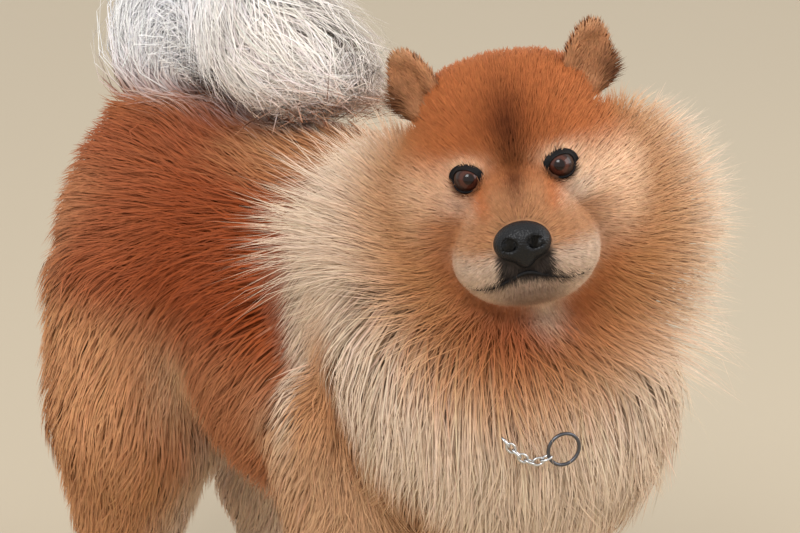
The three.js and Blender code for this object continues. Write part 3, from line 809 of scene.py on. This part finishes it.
def tufts(name, line, outs, root_uv, width, markings_of, root_shade, tip_light, blur):
    """The tufts' mesh: flat, tapered ribbons along their lines, with markings, painted shade towards the
    roots and places on the map.
    """
    stations, number = len(line) - 1, line.shape[1]
    share = np.arange(stations + 1) / stations
    along = unit(np.gradient(line, axis=0))
    roll = rng.normal(0, ROLL, number)[None, :, None]
    flat = unit(np.cross(along, outs))
    facing = unit(np.cross(flat, along))
    across = flat * np.cos(roll) + facing * np.sin(roll)
    facing = unit(np.cross(across, along))
    half = width / 2 * rng.uniform(0.7, 1.3, number)[None, :, None]
    full = np.interp(share, TUFT_PLACES, TUFT_FULLNESS)[:-1, None, None]
    left = line[:-1] - across[:-1] * half * full
    right = line[:-1] + across[:-1] * half * full
    co = np.concatenate([np.stack([left, right], 1).reshape(stations * 2, number, 3), line[-1:]])
    rows = 2 * stations + 1
    pattern = [t for i in range(0, rows - 3, 2) for t in ((i, i + 1, i + 3), (i, i + 3, i + 2))]
    pattern.append((rows - 3, rows - 2, rows - 1))
    tris = (np.arange(number)[:, None, None] * rows + np.array(pattern)).reshape(-1, 3)
    mesh = mesh_of(name, metres(co.transpose(1, 0, 2).reshape(-1, 3)), tris)
    lit = unit(outs + FACING_LIGHT * facing)
    normals = np.concatenate([np.repeat(lit[:-1], 2, 0), lit[-1:]]).transpose(1, 0, 2).reshape(-1, 3)
    mesh.normals_split_custom_set_from_vertices(normals.tolist())
    offset = rng.normal(0, blur, (1, number, 3))
    station_tint = markings_of((line + offset).reshape(-1, 3)).reshape(stations + 1, number, 3)
    station_tint = station_tint * rng.normal(1, 0.06, (1, number, 1)) * rng.normal(1, 0.02, (1, number, 3))
    # Painted shade: every tuft is darker towards its root, for the shadow deep in the coat.
    shade = (root_shade + (1 - root_shade) * fade(share, 0, 0.75))[:, None, None]
    lift = (tip_light * fade(share, 0.5, 1))[:, None, None]
    station_tint = station_tint * shade
    station_tint = station_tint + (CREAM - station_tint) * lift
    tint = np.concatenate([np.repeat(station_tint[:-1], 2, 0), station_tint[-1:]]).transpose(1, 0, 2)
    paint(mesh, np.clip(tint, 0, 1).reshape(-1, 3))
    side = np.concatenate([np.tile([-0.5, 0.5], stations), [0]])
    level_along = np.concatenate([np.repeat(share[:-1], 2), share[-1:]])
    patch = np.stack([side, level_along - 0.5], -1) * PATCH
    at_point = (root_uv[:, None] + patch[None]).reshape(-1, 2)
    layer = mesh.uv_layers.new(name="OFBake")
    layer.data.foreach_set("uv", at_point[tris.ravel()].astype(np.float32).ravel())
    print(f"{name}: {number} tufts, {len(tris)} triangles")
    return new_object(name, mesh, fur)


def scatter(name, surface, chosen, spacing, density=None, keep=None):
    """Roots all over the chosen faces, a mean distance apart, with their places on the faces' map."""
    faces = np.flatnonzero(chosen)
    uv = unwrap(name, surface, faces)
    weight = surface["areas"][faces] * (density(surface["middles"][faces]) if density else 1)
    number = int(weight.sum() / spacing ** 2)
    pick = rng.choice(len(faces), number, p=weight / weight.sum())
    a, b = rng.random((2, number))
    flip = a + b > 1
    a, b = np.where(flip, 1 - a, a), np.where(flip, 1 - b, b)
    share = np.stack([1 - a - b, a, b], -1)
    roots = (surface["co"][surface["faces"][faces[pick]]] * share[..., None]).sum(1)
    root_uv = (uv[pick] * share[..., None]).sum(1)
    kept = keep(roots) if keep else np.ones(number, bool)
    return roots[kept], root_uv[kept]


def grow(name, chosen, spacing, body, lie, length, width, tip=(0.7, 1.05), rise=0.6, stations=4, every=24,
         clump=0.4, stray=0.14, density=None, keep=None, root_shade=0.93, tip_light=0.04, clear=None,
         blur=4, flare=None, press=None):
    """One coat piece: tufts rooted all over the chosen faces of the skin, combed along the lie of the coat.

    spacing is the mean distance between roots, length a factor on the coat's depth, width a tuft's width.
    """
    roots, root_uv = scatter(name, SURFACE, chosen, spacing, density, keep)
    number = len(roots)
    depth = body(roots)[1]
    reach = rng.uniform(*tip, number)
    if flare:
        more = flare(roots)
        reach, depth = reach * more, depth * more
    long = length * depth * (reach / tip[1]) * rng.uniform(0.85, 1.15, number)
    line, outs = comb_coat(body, lie, roots, reach, long, stray, rise, stations, depth)
    line = gather(line, np.arange(stations + 1) / stations, every, clump)
    line = inside_box(press(line) if press else line)
    if clear:
        kept = clear(line)
        line, outs, root_uv = line[:, kept], outs[:, kept], root_uv[kept]
    return tufts(name, line, outs, root_uv, width, markings, root_shade, tip_light, blur)


# The lie of the coat
def back_and_down(p):
    x, y, z = p.T
    drop = 0.12 + 1.3 * fade(z, 540, 320)
    return np.stack([0 * x, 1 + 0 * y, -drop], -1)


def trunk_lie(p):
    front = fade(p[:, 1], -120, -190)
    return blend(back_and_down(p), point(0, 0.15, -1), front)


FACE_CENTRE = from_head((0, -30, 20))


def ruff_lie(p):
    return unit(p - FACE_CENTRE) + fade(p[:, 2], 650, 560)[:, None] * point(0, 0.1, -1.1)


def cheek_lie(p):
    """Out from the face, over the cheeks and down from the jaw."""
    return unit(p - FACE_CENTRE) + point(0, 0.5, -0.35)


def leg_lie(p):
    return np.tile(point(0, 0.35, -1), (len(p), 1))


NOSE_TIP = from_head((0, -95, -35))


def face_lie(p):
    return p - NOSE_TIP


tail_points = np.array(TAIL_PATH, float)
TAIL_BASE = point(0, 200, 480)


def tail_lie(p):
    """A fan from the tail's base that follows the tail and falls to both sides where it is over the back."""
    best = np.full(len(p), 1e9)
    way = np.zeros_like(p)
    for a, b in zip(tail_points, tail_points[1:]):
        share = np.clip((p - a) @ (b - a) / ((b - a) @ (b - a)), 0, 1)
        far = np.linalg.norm(p - a - share[:, None] * (b - a), axis=1)
        way = np.where((far < best)[:, None], unit(b - a), way)
        best = np.minimum(best, far)
    to_side = np.tanh((p[:, 0] - 8) / 25) * 0.9
    fall = fade(p[:, 1], 210, 140)[:, None] * np.stack([to_side, 0 * best, 0 * best - 0.7], -1)
    return way + 0.7 * unit(p - TAIL_BASE) + fall


legs = [name for name in PARTS if "leg" in name]
paws = [name for name in PARTS if "paw" in name]
torso_field = animal(("trunk", "neck", *legs, "tail"))
body_field = animal(("trunk", "neck"))


def is_part(*names):
    return np.isin(nearest_part, names)


def off_face(p):
    return face_room(p) < 0


# The bare places of the face, for roots and for hair: as shares of the eyes' openings and as distances
ROOTS_OPENING = 1.17
HAIR_OPENING = 1.05
LIP_FREE = 3
NOSE_FREE = 1.5
HAIR_OFF_NOSE = 0.4


def off_eyes(p):
    """Outside both openings between the lids, and off the mouth and nose."""
    free = np.ones(len(p), bool)
    for word, side in SIDES.items():
        x, y, ahead = eye_view(word, p)
        free &= (ahead < 0) | (almond(x * side, y) > ROOTS_OPENING)
    q = to_head(p)
    return free & (off_path(MOUTH, q) > LIP_FREE) & (nose_field(q)[0] > NOSE_FREE)


def clear_eyes(line):
    """Keeps the tufts that don't hang over an eye."""
    free = np.ones(line.shape[1], bool)
    for station in line:
        for word, side in SIDES.items():
            x, y, ahead = eye_view(word, station)
            free &= (ahead < 2) | (almond(x * side, y) > HAIR_OPENING)
        free &= nose_field(to_head(station))[0] > HAIR_OFF_NOSE
    return free


head_and_neck = animal(("head", "neck", "trunk"))


def face_density(p):
    """Denser and so finer towards the muzzle and the eyes"""
    return 1 + 1.4 * fade(to_head(p)[:, 1], 10, -30)


def rim_flare(p):
    """Longer towards the rim of the face, where its fur runs out into the ruff."""
    q = to_head(p)
    return 1 + 0.7 * fade(q[:, 1], -24, 20) * fade(q[:, 2], 40, 0)


def ruff_flare(p):
    """Shorter at the top of the left side, where the head turns away from it, and on the right shoulder."""
    left = fade(p[:, 0], -20, 40) * fade(p[:, 2], 380, 465)
    shoulder = fade(p[:, 0], -20, -60) * fade(p[:, 1], -260, -180)
    return 1 - 0.55 * left - 0.25 * shoulder


CHAIN_REACH = 30


def under_chain(line):
    """Presses the hair round the chain down to where the chain lies on it."""
    near = off_path([RING_AT, RING_AT - 52 * PICTURE_RIGHT], line.reshape(-1, 3)).reshape(line.shape[:2])
    place = near < CHAIN_REACH
    over, out = outward(PARTS["trunk"], 1.0, line[place])
    pressed = line.copy()
    pressed[place] -= np.maximum(over, 0)[:, None] * out
    return pressed


def nape_flare(p):
    """Longer at the back of the head, where the crown's hair runs into the mane."""
    return 1 + 0.9 * fade(to_head(p)[:, 1], 50, 100)


CROWN_LEVEL = 1.15
CROWN_STRAY = 4


def lies_close(line):
    """Keeps the tufts of the crown that end near the others."""
    return height(head_and_neck, CROWN_LEVEL, line[-1]) < CROWN_STRAY


# The skin's faces that each piece of the coat grows on
FACE_BACK = 22
CHEEK_SIDE = 48
CHEEK_LOW = -45
CROWN_LOW = 52
BREAST_BACK = -150
on_left = middles[:, 0] > 0
flat_front = middles[:, 1] < BREAST_BACK
head_x, head_y, head_z = to_head(middles).T
face_left = head_x > 0
front_face = is_part("head") & (head_y < FACE_BACK)
back_head = is_part("head") & (head_y >= FACE_BACK)
low_head = back_head & ((np.abs(head_x) > CHEEK_SIDE) | (head_z < CHEEK_LOW)) & (head_z < CROWN_LOW)

coats = [
    grow("coat_crown", back_head & ~low_head, 1.55, head_and_neck, face_lie, 2.2, 0.85, stations=3,
         clump=0.35, every=14, tip=(0.75, 1.15), blur=2.5, flare=nape_flare, clear=lies_close),
    grow("coat_cheeks", low_head, 1.55, head_and_neck, cheek_lie, 2.4, 0.9, tip=(0.6, 0.98), rise=0.8,
         stray=0.2, clump=0.55, every=30, flare=ruff_flare),
]
for word, half, face_half in (("left", on_left, face_left), ("right", ~on_left, ~face_left)):
    coats += [
        grow(f"coat_face_{word}", front_face & face_half, 1.2, head_and_neck, face_lie, 1.9, 0.55,
             stations=3, clump=0.25, every=10, density=face_density, keep=off_eyes, clear=clear_eyes,
             rise=0.75, tip_light=0, blur=1.5, flare=rim_flare),
        grow(f"coat_ruff_{word}", is_part("neck") & half, 1.35, body_field, ruff_lie, 1.9, 0.9,
             keep=off_face, tip=(0.6, 0.96), stray=0.18, clump=0.55, every=40, flare=ruff_flare),
        grow(f"coat_flank_{word}", is_part("trunk") & ~flat_front & half, 2.4, torso_field, trunk_lie,
             2.0, 1.3, tip=(0.7, 1.08), clump=0.38, every=36),
    ]
coats += [
    grow("coat_breast", is_part("trunk") & flat_front, 1.75, torso_field, trunk_lie, 1.8, 0.95,
         keep=off_face, tip=(0.75, 1.14), stray=0.18, clump=0.6, every=50, press=under_chain),
    grow("coat_forelegs", is_part("foreleg_left", "foreleg_right"), 2.6, torso_field, leg_lie, 2.0, 1.35,
         stations=3, tip=(0.7, 1.08), clump=0.38),
    grow("coat_hindlegs", is_part("hindleg_left", "hindleg_right"), 2.8, torso_field, leg_lie, 2.0, 1.4,
         stations=3, tip=(0.7, 1.1), clump=0.38),
    grow("coat_paws", is_part(*paws), 2.2, animal(tuple(paws + legs)), leg_lie, 2.0, 0.8, stations=3),
    grow("coat_tail", is_part("tail"), 1.45, animal(("tail", "trunk")), tail_lie, 3.0, 1.0, tip=(0.7, 1.3),
         rise=0.8, root_shade=1.0, clump=0.5, every=40),
    grow("coat_plume", is_part("tail"), 2.3, animal(("tail", "trunk")), tail_lie, 4.0, 0.9, tip=(1.05, 1.8),
         rise=0.7, root_shade=1.0, clump=0.6, every=30, stray=0.2),
]


# The camera, which the eyes look at, as fitted to the picture
CAMERA_AIM = point(0, -104, 442)
AZIMUTH, ELEVATION, RANGE = math.radians(-36), math.radians(16), 2500
FOCAL_PIXELS, PICTURE_WIDTH = 2940, 800
CAMERA_BACK = point(math.sin(AZIMUTH) * math.cos(ELEVATION), -math.cos(AZIMUTH) * math.cos(ELEVATION),
                    math.sin(ELEVATION))
CAMERA_AT = CAMERA_AIM + CAMERA_BACK * RANGE

# Eyes and lids
PUPIL = math.radians(19)
IRIS = math.radians(46)
IRIS_BROWN = colour("4a261c")
IRIS_DEEP = colour("2c130b")
EYE_WHITE = colour("2e211d")


def finish_mesh(name, bm, material, smooth=True):
    """A bmesh in the dog's millimetres becomes a finished object."""
    mesh = bpy.data.meshes.new(name)
    bm.to_mesh(mesh)
    bm.free()
    co, _ = corners(mesh)
    put_corners(mesh, metres(co))
    mesh.polygons.foreach_set("use_smooth", [smooth] * len(mesh.polygons))
    return new_object(name, mesh, material)


def move_verts(verts, move):
    """Moves vertices of a bmesh all at once."""
    for vert, new in zip(verts, move(np.array([v.co for v in verts]))):
        vert.co = new


def build_eye(word):
    """An eyeball that looks at the camera, its iris and pupil as rings round its axis."""
    centre = eye_centres[word]
    gaze = unit(CAMERA_AT - centre)
    spin = np.array(Vector(gaze).to_track_quat("Z", "Y").to_matrix())
    bm = bmesh.new()
    bmesh.ops.create_uvsphere(bm, u_segments=48, v_segments=60, radius=EYE_RADIUS)

    def bulge(co):
        angle = np.arccos(np.clip(co[:, 2] / EYE_RADIUS, -1, 1))
        return (co * (1 + 0.05 * fade(angle, 0.7, 0.3))[:, None]) @ spin.T + centre

    move_verts(list(bm.verts), bulge)
    eye = finish_mesh(f"eye_{word}_ball", bm, eye_surface)
    co = corners(eye.data)[0] * 1000 - MOVED - centre
    angle = np.arccos(np.clip(unit(co) @ gaze, -1, 1))
    tint = blend(IRIS_BROWN, IRIS_DEEP, fade(angle, IRIS * 0.72, IRIS * 0.98))
    tint = blend(tint, IRIS_DEEP * 0.3, fade(angle, PUPIL * 1.25, PUPIL))
    tint = blend(tint, EYE_WHITE, fade(angle, IRIS, IRIS * 1.1))
    paint(eye.data, tint)
    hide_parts(f"eye_{word}")
    return eye


# The lids' rings: size against the opening, distance from the eye's centre, and how far the tear is drawn
LID_RINGS = (
    (0.95, 11.3, 0.0),
    (1.0, 12.1, 0.3),
    (1.08, 12.6, 0.9),
    (1.18, 12.7, 1.5),
    (1.3, 12.3, 1.8),
    (1.4, 11.3, 2.0),
)
TEAR_LENGTH = 2.2
TEAR_DROP = 1.4
LID_THICKNESS = 0.0006


def build_lids(word):
    """The black rims: rings round the opening, from the eyeball over the lids' edge down into the fur."""
    side = SIDES[word]
    across, up, ahead = eye_axes(word)
    bm = bmesh.new()
    first = bmesh.ops.create_circle(bm, cap_ends=False, segments=64, radius=1)["verts"]
    angle = np.array([math.atan2(v.co.y, v.co.x * side) for v in first])
    corner_in = np.exp(-(np.abs(np.abs(angle) - math.pi) / 0.3) ** 2)
    edges = list(bm.edges)
    verts = first
    for i, (size, radius, tear) in enumerate(LID_RINGS):
        if i:
            made = bmesh.ops.extrude_edge_only(bm, edges=edges)["geom"]
            new = [g for g in made if isinstance(g, bmesh.types.BMVert)]
            edges = [g for g in made if isinstance(g, bmesh.types.BMEdge)
                     and g.verts[0] in new and g.verts[1] in new]
            order = {tuple(round(c, 6) for c in v.co): v for v in new}
            verts = [order[tuple(round(c, 6) for c in v.co)] for v in verts]
        x = np.cos(angle) * EYE_LENGTH / 2 * size
        lens = np.abs(np.sin(angle)) ** 0.95 * np.sign(np.sin(angle))
        y = lens * np.where(angle > 0, EYE_ABOVE, EYE_BELOW) * size
        x = x - corner_in * tear * TEAR_LENGTH
        y = y - corner_in * tear * TEAR_DROP
        depth = np.sqrt(np.maximum(radius ** 2 - x ** 2 - y ** 2, 9))
        co = eye_centres[word] + (x * side)[:, None] * across + y[:, None] * up + depth[:, None] * ahead
        for vert, new_co in zip(verts, co):
            vert.co = new_co
    bmesh.ops.recalc_face_normals(bm, faces=bm.faces)
    lids = finish_mesh(f"lids_{word}", bm, lid_skin)
    thick = lids.modifiers.new("thickness", "SOLIDIFY")
    thick.thickness = LID_THICKNESS
    thick.offset = -1
    return lids


# Nose and lips
NOSTRILS = [
    round_mass((9.5 * side, -92, -38), (5.6, 9.0, 4.6), 0) for side in (1, -1)
] + [
    long_mass((11 * side, -91, -39), (18.5 * side, -80, -44), 2.4, 1.2, 0) for side in (1, -1)
] + [long_mass((0, -95, -43), (0, -87, -58), 1.0, 0.8, 0)]
NOSE_VOXEL = 0.0007


def nose_with_nostrils(q):
    d, coat = nose_field(q)
    holes = np.minimum.reduce([distance(mass, q) for mass in NOSTRILS])
    return -melt([(-d, coat), (holes, coat)], 0.8)[0], coat


def build_nose():
    bm = bmesh.new()
    for mass in NOSE:
        add_mass(bm, mass)
    mesh = remeshed(bm, NOSE_VOXEL)
    q = settle(nose_with_nostrils, 0, corners(mesh)[0] * 1000, passes=6)
    put_corners(mesh, metres(from_head(q)))
    mesh.polygons.foreach_set("use_smooth", [True] * len(mesh.polygons))
    nose = new_object("nose_leather", mesh, nose_leather)
    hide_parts("nose")
    return nose


def tube(bm, path, radii, around=10):
    """A closed tube along a path of points, its ends tapered shut."""
    path = [Vector(p) for p in path]
    verts = []
    edges = []
    for i, (middle, radius) in enumerate(zip(path, radii)):
        ahead = (path[min(i + 1, len(path) - 1)] - path[max(i - 1, 0)]).normalized()
        ring = Matrix.Translation(middle) @ ahead.to_track_quat("Z", "Y").to_matrix().to_4x4()
        made = bmesh.ops.create_circle(bm, cap_ends=i in (0, len(path) - 1), segments=around, radius=radius,
                                       matrix=ring)["verts"]
        verts += made
        edges.append(list({e for v in made for e in v.link_edges}))
    for low, high in zip(edges, edges[1:]):
        bmesh.ops.bridge_loops(bm, edges=low + high)
    return verts


def smooth_path(points, steps):
    """A smooth curve through points, by steps per stretch."""
    p = np.array(points, float)
    p = np.concatenate([[2 * p[0] - p[1]], p, [2 * p[-1] - p[-2]]])
    t = (np.arange(steps) / steps)[:, None]
    out = []
    for a, b, c, d in zip(p, p[1:], p[2:], p[3:]):
        out.append(0.5 * (2 * b + (c - a) * t + (2 * a - 5 * b + 4 * c - d) * t ** 2
                          + (3 * b - a - 3 * c + d) * t ** 3))
    return np.concatenate([*out, p[-2:-1]])


def build_lips():
    """The dark edge of the lips along the mouth, nearly level with the short fur."""
    bm = bmesh.new()
    path = smooth_path(MOUTH, 6)
    path = to_head(settle(PARTS["head"], 0.5, from_head(path)))
    radii = 0.6 + 0.9 * np.sin(np.linspace(0.12, math.pi - 0.12, len(path))) ** 0.6
    tube(bm, from_head(path), radii)
    return finish_mesh("lips", bm, lid_skin)


# Ears
EAR_LENGTH = 66
EAR_HALF_WIDTH = 27
EAR_HALF_THICK = 11
EAR_TAPER = 0.3
EAR_FUR = 5


def ear_axes(side):
    axis = unit(point(0.27 * side, -0.08, 0.95))
    facing = point(0.42 * side, -0.9, 0)
    facing = unit(facing - (facing @ axis) * axis)
    return axis, facing, np.cross(axis, facing)


def build_ear(word):
    """The ear's skin, a rounded cone with its cup pressed into the front."""
    side = SIDES[word]
    axis, facing, across = ear_axes(side)
    bm = bmesh.new()
    bmesh.ops.create_uvsphere(bm, u_segments=36, v_segments=24, radius=1)

    def shape(co):
        share = 1 - np.arccos(np.clip(co[:, 2], -1, 1)) / math.pi
        ring = np.hypot(co[:, 0], co[:, 1])
        full = np.where(ring > 1e-6, ring ** 0.42 / np.maximum(ring, 1e-6), 0) * (1 - EAR_TAPER * share)
        x, front = co[:, 0] * full, co[:, 1] * full
        cup = fade(np.abs(x), 0.75, 0.25) * box_fade(share, 0.2, 0.84, 0.1) * (front > 0)
        front = front * (1 - 1.2 * cup)
        q = point(60 * side, 44, 42) + axis * ((EAR_LENGTH - EAR_FUR) * share)[:, None]
        q = q + across * (x * (EAR_HALF_WIDTH - EAR_FUR))[:, None]
        q = q + facing * (front * (EAR_HALF_THICK - EAR_FUR))[:, None]
        return from_head(q)

    move_verts(list(bm.verts), shape)
    bmesh.ops.remove_doubles(bm, verts=bm.verts, dist=0.01)
    bmesh.ops.recalc_face_normals(bm, faces=bm.faces)
    ear = finish_mesh(f"ear_{word}_skin", bm, hide)
    co, faces = corners(ear.data)
    co = co * 1000 - MOVED
    # The ear's skin carries its markings darker, as painted shade under its short fur.
    paint(ear.data, ear_colour(co) * 0.85)
    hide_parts(f"ear_{word}")
    return ear, co, faces


def ear_colour(p):
    """Pinkish brown, dark at the outer base, paler towards the top."""
    q = to_head(p)
    tint = np.tile(EAR_BROWN, (len(p), 1))
    outer = fade(np.abs(q[:, 0]), 70, 88) * fade(q[:, 2], 92, 60)
    tint = blend(tint, BROWN, 0.8 * outer)
    return blend(tint, TAN, 0.3 * fade(q[:, 2], 86, 104))


def ear_tufts(word, co, faces):
    side = SIDES[word]
    axis = HEAD_TURN @ ear_axes(side)[0]
    a, b = co[faces[:, 1]] - co[faces[:, 0]], co[faces[:, 2]] - co[faces[:, 0]]
    normal = np.cross(a, b)
    areas_here = np.linalg.norm(normal, axis=1) / 2
    surface = {"co": co, "faces": faces, "areas": areas_here, "middles": co[faces].mean(1)}
    roots, root_uv = scatter(f"coat_ear_{word}", surface, surface["areas"] > 1e-4, 0.85)
    tree = KDTree(len(faces))
    for i, middle in enumerate(surface["middles"]):
        tree.insert(middle, i)
    tree.balance()
    out = unit(normal)[[tree.find(root)[1] for root in roots]]
    number = len(roots)
    q = to_head(roots)
    low_out = fade(q[:, 2], 80, 55) * fade(np.abs(q[:, 0]), 66, 84)
    long = (7 + 8 * low_out) * rng.uniform(0.7, 1.2, number)
    way = axis + 0.25 * out + HEAD_TURN @ point(0.7 * side, 0.2, -0.5) * low_out[:, None]
    way = unit(way + rng.normal(0, 0.16, (number, 3)))
    line = np.stack([roots + way * (long * t)[:, None] + out * (2.0 * t ** 0.6) for t in np.arange(4) / 3])
    outs = np.repeat(out[None], 4, 0)
    return tufts(f"coat_ear_{word}", line, outs, root_uv, 0.5, ear_colour, 0.85, 0.04, 1.5)


pieces = []
for word in SIDES:
    pieces += [build_eye(word), build_lids(word)]
    ear, ear_co, ear_faces = build_ear(word)
    pieces.append(ear)
    coats.append(ear_tufts(word, ear_co, ear_faces))
pieces += [build_nose(), build_lips()]


# Claws, each a bent cone
CLAW_LENGTH = 15
CLAW_RADIUS = 3.0


def build_claws():
    bm = bmesh.new()
    for side in SIDES.values():
        for heel_y in (FORE_Y, HIND_PAW_Y):
            for x in TOES:
                start = toe_at(x, side, heel_y) + point(0, -15, -3)
                share = np.linspace(0, 1, 7)
                path = [start + point(0, -CLAW_LENGTH * t, -7.5 * t ** 1.8) for t in share]
                tube(bm, path, CLAW_RADIUS * (1 - share ** 1.6) + 0.35, around=12)
    return finish_mesh("claws", bm, claw_horn)


pieces.append(build_claws())


# The collar's ring and links lie on the breast, where the part has them.
RING_RADIUS = 13
RING_WIRE = 1.4
LINK_LENGTH = 11
LINK_WIDTH = 8
LINK_WIRE = 1
CHAIN_LEVEL = 1.03
CHAIN_LIFT = 2.5
LINKS = 7


def on_breast(right, up):
    place = RING_AT + PICTURE_RIGHT * right + point(0, 0, up)
    surface = settle(PARTS["trunk"], CHAIN_LEVEL, place[None], 5)
    return (surface + outward(PARTS["trunk"], CHAIN_LEVEL, surface)[1] * CHAIN_LIFT)[0]


def build_loop(name, half_length, half_width, wire, centre, towards, roll, material, node):
    """A closed loop of round wire, its long way towards a direction."""
    out = outward(PARTS["trunk"], CHAIN_LEVEL, centre[None])[1][0]
    along = unit(towards - (out @ towards) * out)
    axes = np.stack([along, np.cross(out, along), out], 1) @ turn("X", roll)
    bm = bmesh.new()
    made = bmesh.ops.create_circle(bm, cap_ends=False, segments=14, radius=wire)["verts"]
    stand = Matrix.Translation((10, 0, 0)) @ Matrix.Rotation(math.pi / 2, 4, "X")
    bmesh.ops.transform(bm, matrix=stand, verts=made)
    bmesh.ops.spin(bm, geom=list(bm.edges), cent=(0, 0, 0), axis=(0, 0, 1), angle=2 * math.pi, steps=44,
                   use_merge=True)

    def stretch(co):
        turned = np.arctan2(co[:, 1], co[:, 0])
        out_by = np.hypot(co[:, 0], co[:, 1]) - 10
        flat = np.stack([np.cos(turned) * (half_length - wire + out_by),
                         np.sin(turned) * (half_width - wire + out_by), co[:, 2]], -1)
        return flat @ axes.T + centre

    move_verts(list(bm.verts), stretch)
    bmesh.ops.recalc_face_normals(bm, faces=bm.faces)
    loop = finish_mesh(name, bm, material)
    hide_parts(node)
    return loop


def build_collar():
    ring = RING_RADIUS + RING_WIRE
    made = [build_loop("ring", ring, ring, RING_WIRE, on_breast(0, 0), PICTURE_RIGHT, 0, dull_steel,
                       "collar_ring")]
    hang = [(-12.2, -4.6), (-23, -7), (-32, -2), (-39, 5), (-46, 14)]
    path = smooth_path([on_breast(*place) for place in hang], 40)
    steps = np.linalg.norm(np.diff(path, axis=0), axis=1)
    run = np.concatenate([[0], np.cumsum(steps)])
    pitch = LINK_LENGTH - 4 * LINK_WIRE - GAP
    first = LINK_LENGTH / 2 - 2 * LINK_WIRE - RING_WIRE - GAP
    for i in range(LINKS):
        far = first + i * pitch
        centre = np.array([np.interp(far, run, path[:, k]) for k in range(3)])
        ahead = np.array([np.interp(far + 1, run, path[:, k]) for k in range(3)])
        roll = math.pi / 2 if i % 2 == 0 else 0
        made.append(build_loop(f"link_{i + 1}", LINK_LENGTH / 2, LINK_WIDTH / 2, LINK_WIRE, centre,
                               ahead - centre, roll, bright_steel, f"collar_link_{i + 1}"))
    return made


pieces += build_collar()

# Riding and replacing
flesh_nodes = ["torso", "neck", "head", "tail"]
for word in SIDES:
    flesh_nodes += [f"{leg}_{word}_{part}" for leg in ("foreleg", "hindleg") for part in ("upper", "lower")]
    flesh_nodes += [f"forepaw_{word}", f"hindpaw_{word}"]
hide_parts(*flesh_nodes)
for piece in [skin, *pieces, *coats]:
    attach(piece, "root")

# Floor, light and camera
bm = bmesh.new()
bmesh.ops.create_grid(bm, x_segments=1, y_segments=1, size=20)
floor_mesh = bpy.data.meshes.new("floor")
bm.to_mesh(floor_mesh)
bm.free()
pale_floor = plain_material("pale floor", colour("bdb09a"), 0.85, 0.6, spread=0.02)
floor = new_object("floor", floor_mesh, pale_floor)

world = bpy.data.worlds.new("studio")
scene.world = world
world.use_nodes = True
world.node_tree.nodes["Background"].inputs["Color"].default_value = (1, 0.98, 0.95, 1)
world.node_tree.nodes["Background"].inputs["Strength"].default_value = 1.0


def lamp(name, place, size, power):
    light = bpy.data.lights.new(name, "AREA")
    light.size = size
    light.energy = power
    obj = bpy.data.objects.new(name, light)
    scene.collection.objects.link(obj)
    obj.location = place
    obj.rotation_euler = (Vector((0, -0.1, 0.4)) - Vector(place)).to_track_quat("-Z", "Y").to_euler()


lamp("key", (-2.4, -2.0, 3.2), 1.4, 75)
lamp("fill", (2.2, -2.2, 2.0), 2.0, 45)

camera_data = bpy.data.cameras.new("camera")
camera_data.sensor_width = 36
camera_data.lens = FOCAL_PIXELS / PICTURE_WIDTH * camera_data.sensor_width
camera = bpy.data.objects.new("camera", camera_data)
scene.collection.objects.link(camera)
camera.location = metres(CAMERA_AT)
camera.rotation_euler = Vector(-CAMERA_BACK).to_track_quat("-Z", "Y").to_euler()
scene.camera = camera
scene.view_settings.view_transform = "Standard"
